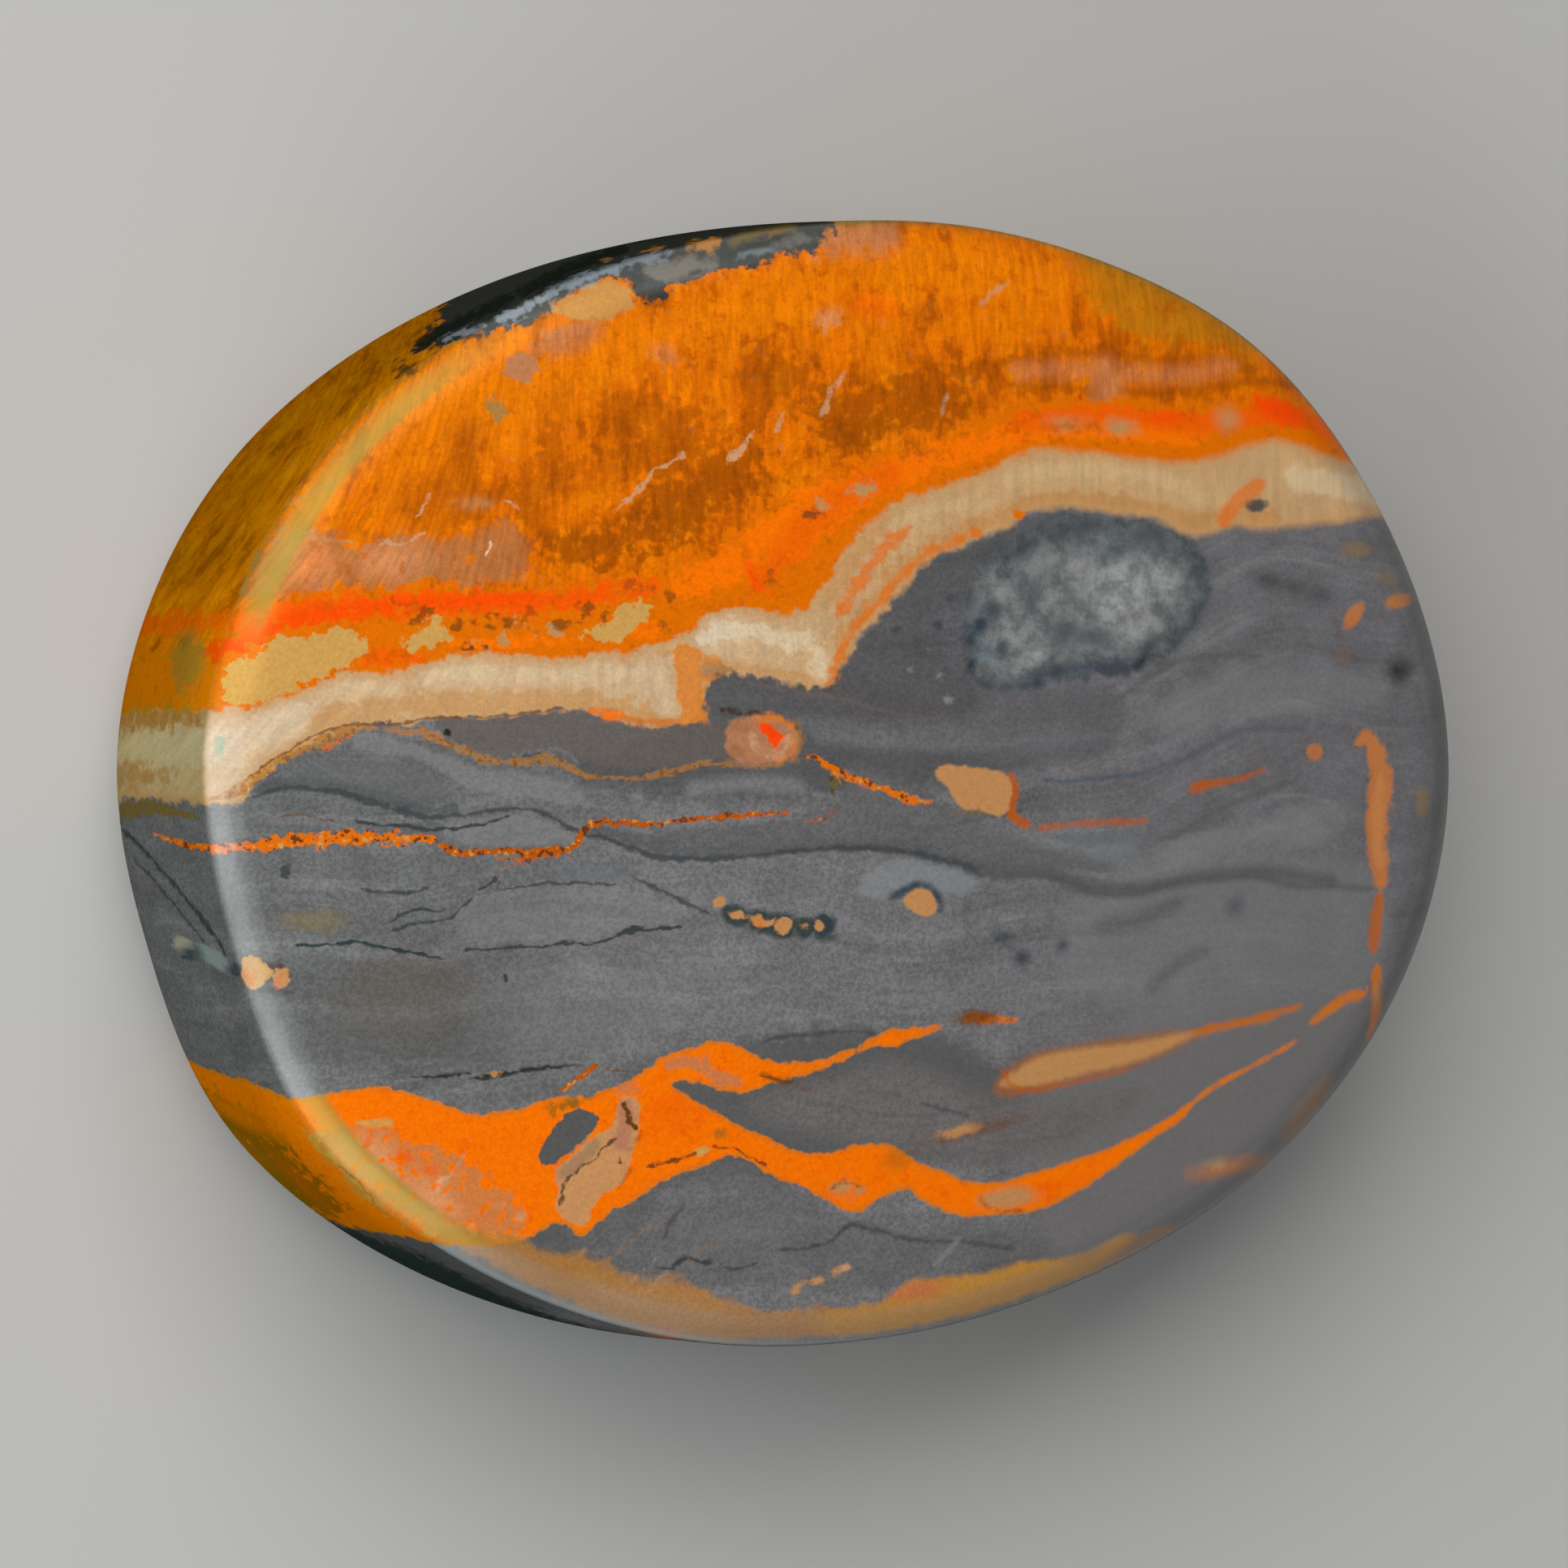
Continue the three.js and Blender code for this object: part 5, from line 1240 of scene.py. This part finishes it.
class Jasper(Shader):
    """The stone's material, with the coordinates and noises that its layers share."""

    def __init__(self, name):
        super().__init__(name)
        self.place = self.field("place")
        self.x, self.y, self.depth = self.split(self.place)
        self.fibre = self.field("fibre")
        self.lamina = self.field("lamina")
        self.line_soft = self.ramp(self.x, -10.0, 22.0, CRISP, 0.18)
        steadier = self.ramp(self.x, -6.0, 20.0, 1.0, 0.4)
        ragged = self.split(self.noise("ragged", self.place, True))
        self.wobbles = [self.product(self.math("SUBTRACT", value, 0.5), steadier) for value in ragged]
        self.breaks = self.mix_value(0.5, self.noise("breaks", self.place), steadier)
        self.beads = self.noise("beads", self.place)
        self.mottle = self.noise("mottle", self.place)
        self.flecks = self.noise("flecks", self.place)
        self.grain = self.mix_value(0.5, self.noise("grain", self.place), steadier)

    def tint(self, name):
        return self.field(name + "_tint")

    def edge(self, name):
        return self.split(self.field(name + "_edge"))

    def area_mask(self, name, wobble, amount):
        """Cover of an area layer: its depth, roughened by a noise, through its own soft edge."""
        depth, soft, strength = self.edge(name)
        share = self.math("DIVIDE", self.math("MULTIPLY_ADD", wobble, amount, depth), soft)
        return self.product(self.ramp(share, -1.0, 1.0), strength)

    def wash_mask(self, name, wobble, amount):
        """Cover of a wash layer, broken up by a noise where it is thin."""
        cover, strength, _ = self.edge(name)
        rough = self.math("MULTIPLY_ADD", wobble, amount, cover)
        return self.product(self.ramp(rough, 0.2, 0.8), strength)

    def line_mask(self, name, wobble, amount, soft):
        """Cover of a line layer: its distance and half-width, both roughened by noises."""
        offset, width, strength = self.edge(name)
        rough = self.math("ABSOLUTE", self.math("MULTIPLY_ADD", wobble, amount, offset))
        wide = self.product(width, self.ramp(self.breaks, 0.32, 0.66, 0.45, 1.4))
        inside = self.math("DIVIDE", self.math("SUBTRACT", wide, rough), soft)
        return self.product(self.ramp(inside, -1.0, 1.0), strength)

    def area(self, under, name, wobble, amount=1.2):
        return self.mix(under, self.tint(name), self.area_mask(name, wobble, amount))

    def wash(self, under, name, wobble, amount=2.0):
        return self.mix(under, self.tint(name), self.wash_mask(name, wobble, amount))

    def lines(self, under, name, wobble, amount=0.5, grit=None, blur=1.0, gaps=0.0):
        """A line layer over the rock. Grit is the share of brown and tan beads, gaps that of its breaks."""
        mask = self.line_mask(name, wobble, amount, self.product(self.line_soft, blur))
        if gaps:
            mask = self.product(mask, self.ramp(self.beads, 0.36, 0.52, 1.0 - gaps, 1.0))
        colour = self.tint(name)
        if grit is not None:
            colour = self.mix(colour, BROWN_DARK, self.product(self.ramp(self.beads, 0.54, 0.62), grit))
            colour = self.mix(colour, TAN_PALE, self.product(self.ramp(self.beads, 0.42, 0.34), grit))
        return self.mix(under, colour, mask)


def grey_rock(s, druse):
    """Grey groundmass with thin layers, clouds and a fine grain, its crystal patch, seams and cracks."""
    first, second, third = s.wobbles
    rock = s.mix(GREY_LEFT, GREY_MIDDLE, s.ramp(s.x, -22.0, -8.0))
    rock = s.mix(rock, GREY_RIGHT, s.ramp(s.x, 0.0, 20.0))
    layers = s.noise("layers", s.lamina)
    rock = s.mix(rock, GREY_DARK, s.ramp(layers, 0.54, 0.74, 0.0, 0.6))
    rock = s.mix(rock, GREY_PALE, s.ramp(layers, 0.48, 0.3, 0.0, 0.5))
    rock = s.scaled(rock, s.ramp(s.grain, 0.3, 0.7, 0.78, 1.22))
    rock = s.scaled(rock, s.ramp(s.noise("fine_layers", s.lamina), 0.25, 0.75, 0.93, 1.07))
    rock = s.scaled(rock, s.ramp(s.mottle, 0.25, 0.75, 0.88, 1.12))
    rock = s.mix(rock, CRYSTAL_DARK, s.ramp(s.grain, 0.6, 0.7, 0.0, 0.6))
    rock = s.mix(rock, CRYSTAL_PALE, s.ramp(s.grain, 0.38, 0.28, 0.0, 0.5))
    rock = s.wash(rock, "shades", third, 1.2)
    rock = s.area(rock, "lenses", first, 0.6)
    cover, tint = druse
    crystals = s.ramp(s.noise("crystals", s.place), 0.34, 0.66, 0.62, 1.3)
    rock = s.mix(rock, s.scaled(tint, crystals), cover)
    rock = s.lines(rock, "seams", second, 0.4, blur=1.7)
    rock = s.lines(rock, "cracks", third, 0.4)
    return s.area(rock, "druse_darks", third, 0.9)


def calcite_rock(s, clouds):
    """Orange calcite: clouds, feathery streaks along its fibres, and pink and brown flecks."""
    cover, tint = clouds
    flames = s.noise("flames", s.fibre)
    rock = s.mix(ORANGE, ORANGE_BRIGHT, s.ramp(flames, 0.5, 0.64, 0.0, 0.95))
    rock = s.mix(rock, ORANGE_BROWN, s.ramp(flames, 0.48, 0.36, 0.0, 0.95))
    rock = s.mix(rock, AMBER_DARK, s.ramp(s.mottle, 0.42, 0.26, 0.0, 0.5))
    rock = s.mix(rock, PINK, s.ramp(s.flecks, 0.6, 0.74, 0.0, 0.3))
    rock = s.mix(rock, AMBER_DARK, s.ramp(s.flecks, 0.38, 0.24, 0.0, 0.45))
    rock = s.mix(rock, tint, cover)
    return s.scaled(rock, s.ramp(s.noise("streaks", s.fibre), 0.3, 0.7, 0.85, 1.15))


def red_rock(s, rock, calcite_cover):
    """The red and orange layer over the calcite, with its tan patches and brown specks."""
    first, second, _ = s.wobbles
    rock = s.area(rock, "red_band", second, 3.0)
    rock = s.wash(rock, "reds", first, 3.6)
    mottled = s.product(calcite_cover, s.ramp(s.flecks, 0.46, 0.32, 0.0, 0.5))
    rock = s.mix(rock, ORANGE_BROWN, mottled)
    rock = s.area(rock, "tans", first, 1.6)
    return s.area(rock, "specks", second, 2.0)


def cream_rock(s, cores):
    """The cream band: paler and tanner streaks, fine columns across it, yellower towards the right."""
    cover, tint = cores
    rock = s.mix(s.scaled(CREAM, s.ramp(s.mottle, 0.2, 0.8, 0.94, 1.06)), tint, cover)
    rock = s.scaled(rock, s.ramp(s.noise("columns", s.fibre), 0.25, 0.75, 0.9, 1.1))
    yellower = s.vector("MULTIPLY", rock, CREAM_RIGHT_TONE)
    rock = s.mix(rock, yellower, s.ramp(s.x, -9.0, 2.0))
    inside, _, _ = s.edge("cream")
    return s.mix(s.mix(rock, CREAM_TAN, 0.75), rock, s.ramp(inside, 0.0, 0.7))


def network_rock(s, cores):
    """The orange network: redder flecks, a mosaic of broken pieces at the left and an ochre rim."""
    first, _, _ = s.wobbles
    cover, tint = cores
    rock = s.mix(ORANGE_HOT, ORANGE_BRIGHT, s.ramp(s.flecks, 0.54, 0.7, 0.0, 0.4))
    rock = s.mix(rock, RED_ORANGE, s.ramp(s.flecks, 0.46, 0.32, 0.0, 0.6))
    rock = s.mix(rock, tint, cover)
    pieces, _, _ = s.edge("mosaic")
    broken = s.math("MULTIPLY_ADD", first, 3.8, s.product(pieces, 0.72))
    broken = s.product(s.ramp(broken, 0.2, 0.55, 0.0, 0.9), s.ramp(pieces, 0.1, 0.5))
    rock = s.mix(rock, s.tint("mosaic"), broken)
    inside, _, _ = s.edge("network")
    return s.mix(s.mix(rock, OCHRE, 0.5), rock, s.ramp(inside, 0.0, 0.3))


def rim_sheen_and_scuffing(s, rock, warm, up, bevel):
    """Painted sheen with light scuffing on the rounded edge: grey along the bottom, yellow on the orange rock
    at the left.
    """
    rim = s.product(s.ramp(up, 0.96, 0.9), s.ramp(up, 0.72, 0.88))
    high_or_low = s.math("MAXIMUM", s.ramp(s.y, 5.5, 8.5), s.ramp(s.y, -12.0, -13.0))
    left_end = s.product(s.ramp(s.x, -15.0, -21.5), high_or_low)
    # Painted sheen: yellow at the left end of the orange rock, grey along the lower left, and light scuffing
    # all round.
    warm_rim_sheen = s.product(rim, left_end, warm)
    foot = s.product(s.ramp(up, 0.85, 0.7), s.ramp(up, 0.25, 0.45))
    low_rim_sheen = s.product(foot, s.product(s.ramp(s.x, 2.0, -8.0), s.ramp(s.y, -12.0, -18.0)))
    sheen_and_scuffing = s.math("MULTIPLY_ADD", low_rim_sheen, BEVEL_SHEEN_COVER_LOW, s.product(bevel, BEVEL_SHEEN_COVER))
    rock = s.mix(rock, BEVEL_SHEEN_TONE, s.product(sheen_and_scuffing, s.math("SUBTRACT", 1.0, warm)))
    return s.mix(rock, BEVEL_SHEEN_TONE_WARM, s.product(warm_rim_sheen, BEVEL_SHEEN_COVER_WARM))


def bevel_and_side(s, rock, warm, cream):
    """The rounded edge is glossier and gets a painted sheen with light scuffing; the side below it gets
    painted shade and is browner.
    """
    _, _, up = s.split(s.field("facing"))
    # Painted shade on the side: browner on the orange rock, and lighter just below the rim.
    browner = s.mix(SIDE_SHADE_ORANGE, SIDE_SHADE_WARM, s.ramp(s.y, 6.5, 10.5))
    browner = s.scaled(browner, s.ramp(s.depth, 1.0, 6.0, SIDE_SHADE_LIFT, 1.0))
    starts = s.math("MULTIPLY_ADD", warm, 0.13, 0.75)
    ends = s.math("MULTIPLY_ADD", warm, 0.3, 0.25)
    tone = s.mix(s.mix(SIDE_SHADE, browner, warm), SIDE_SHADE_CREAM, cream)
    rock = s.mix(rock, s.vector("MULTIPLY", rock, tone), s.ramp(up, starts, ends))
    bevel = s.product(s.ramp(up, 0.975, 0.93), s.ramp(up, 0.45, 0.7))
    flat_gloss = s.ramp(up, 0.6, 0.2, FACE_GLOSS, SIDE_GLOSS)
    edge_gloss = s.product(bevel, s.ramp(s.y, -2.5, 2.0, BEVEL_GLOSS - FACE_GLOSS, 0.0))
    s.plug(s.surface.inputs["Specular IOR Level"], s.math("ADD", flat_gloss, edge_gloss))
    s.plug(s.surface.inputs["Specular Tint"], s.mix((1.0, 1.0, 1.0), WARM_SHEEN, warm))
    s.plug(s.surface.inputs["Roughness"], s.ramp(up, 0.9, 0.3, FACE_ROUGHNESS, SIDE_ROUGHNESS))
    return rim_sheen_and_scuffing(s, rock, warm, up, bevel)


def rock_colour(s):
    """All the layers of the rock, one over the other."""
    first, second, third = s.wobbles
    clouds = s.wash_mask("clouds", third, 3.0), s.tint("clouds")
    rock = grey_rock(s, clouds)
    calcite_cover = s.area_mask("calcite", first, 1.0)
    rock = s.mix(rock, calcite_rock(s, clouds), calcite_cover)
    rock = red_rock(s, rock, calcite_cover)
    cream_cover = s.area_mask("cream", second, 1.1)
    cores = s.wash_mask("cores", second, 2.8), s.tint("cores")
    rock = s.mix(rock, cream_rock(s, cores), cream_cover)
    rock = s.wash(rock, "fringe", first, 2.4)
    vein_cover = s.area_mask("top_vein", second, 2.2)
    rock = s.mix(rock, s.tint("top_vein"), vein_cover)
    rock = s.lines(rock, "faint", second, 0.5, grit=0.5, blur=1.2, gaps=0.5)
    rock = s.lines(rock, "threads", first, 0.5, grit=s.ramp(s.x, 2.0, 12.0, 0.85, 0.0), blur=1.1)
    network_cover = s.area_mask("network", third, 0.6)
    rock = s.mix(rock, network_rock(s, cores), network_cover)
    rock = s.area(rock, "halos", first, 0.6)
    rock = s.area(rock, "clasts", second, 0.6)
    rock = s.area(rock, "eyes", third, 1.2)
    rock = s.lines(rock, "dots", second, 0.5)
    rock = s.lines(rock, "wisps", third, 0.6, gaps=0.6)
    rock = s.wash(rock, "bottom", first, 1.1)
    rock = s.scaled(rock, s.ramp(s.grain, 0.25, 0.75, 0.87, 1.13))
    bare = s.math("SUBTRACT", 1.0, s.math("MAXIMUM", cream_cover, vein_cover))
    warm = s.math("MAXIMUM", s.product(calcite_cover, bare), network_cover)
    return bevel_and_side(s, rock, warm, cream_cover)


def stone_material():
    s = Jasper("jasper")
    bump = s.node("ShaderNodeBump", {"Strength": 0.25, "Distance": BUMP_HEIGHT * MM, "Height": s.grain})
    s.plug(s.surface.inputs["Base Color"], rock_colour(s))
    s.plug(s.surface.inputs["IOR"], STONE_IOR)
    s.plug(s.surface.inputs["Normal"], bump.outputs[0])
    return s.material


def build_floor():
    mesh = bpy.data.meshes.new("floor")
    half = FLOOR_HALF * MM
    corners = [(-half, -half, 0), (half, -half, 0), (half, half, 0), (-half, half, 0)]
    mesh.from_pydata(corners, [], [(0, 1, 2, 3)])
    s = Shader("floor")
    s.plug(s.surface.inputs["Base Color"], FLOOR_COLOUR)
    s.plug(s.surface.inputs["Roughness"], FLOOR_ROUGHNESS)
    mesh.materials.append(s.material)
    floor = bpy.data.objects.new("floor", mesh)
    bpy.context.collection.objects.link(floor)


def add_light(name, azimuth, elevation, distance, wide, high, watts, colour):
    """A soft rectangular light that faces the stone."""
    a, e = math.radians(azimuth), math.radians(elevation)
    direction = Vector((math.cos(e) * math.cos(a), math.cos(e) * math.sin(a), math.sin(e)))
    light = bpy.data.lights.new(name, "AREA")
    light.shape = "RECTANGLE"
    light.size = wide * MM
    light.size_y = high * MM
    light.energy = watts
    light.color = colour
    lamp = bpy.data.objects.new(name, light)
    lamp.location = direction * distance * MM + Vector((0, 0, LIGHT_TARGET_HEIGHT * MM))
    lamp.rotation_euler = direction.to_track_quat("Z", "Y").to_euler()
    bpy.context.collection.objects.link(lamp)


def add_world():
    world = bpy.data.worlds.new("studio")
    world.use_nodes = True
    background = world.node_tree.nodes["Background"]
    background.inputs["Color"].default_value = (*WORLD_COLOUR, 1.0)
    background.inputs["Strength"].default_value = WORLD_STRENGTH
    bpy.context.scene.world = world


def add_camera():
    back = CAMERA_BACK.normalized()
    right = Vector((0, 1, 0)).cross(back).normalized()
    up = back.cross(right)
    data = bpy.data.cameras.new("camera")
    data.lens = LENS
    data.sensor_width = SENSOR
    data.clip_start = 1 * MM
    camera = bpy.data.objects.new("camera", data)
    rotation = Matrix((right, up, back)).transposed().to_4x4()
    camera.matrix_world = Matrix.Translation((AIM + back * CAMERA_DISTANCE) * MM) @ rotation
    bpy.context.collection.objects.link(camera)
    bpy.context.scene.camera = camera


stone = build_stone(stone_material())
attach(stone, "root")
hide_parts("stone")
build_floor()
add_world()
for light in LIGHTS:
    add_light(*light)
add_camera()
bpy.context.scene.view_settings.view_transform = "Standard"
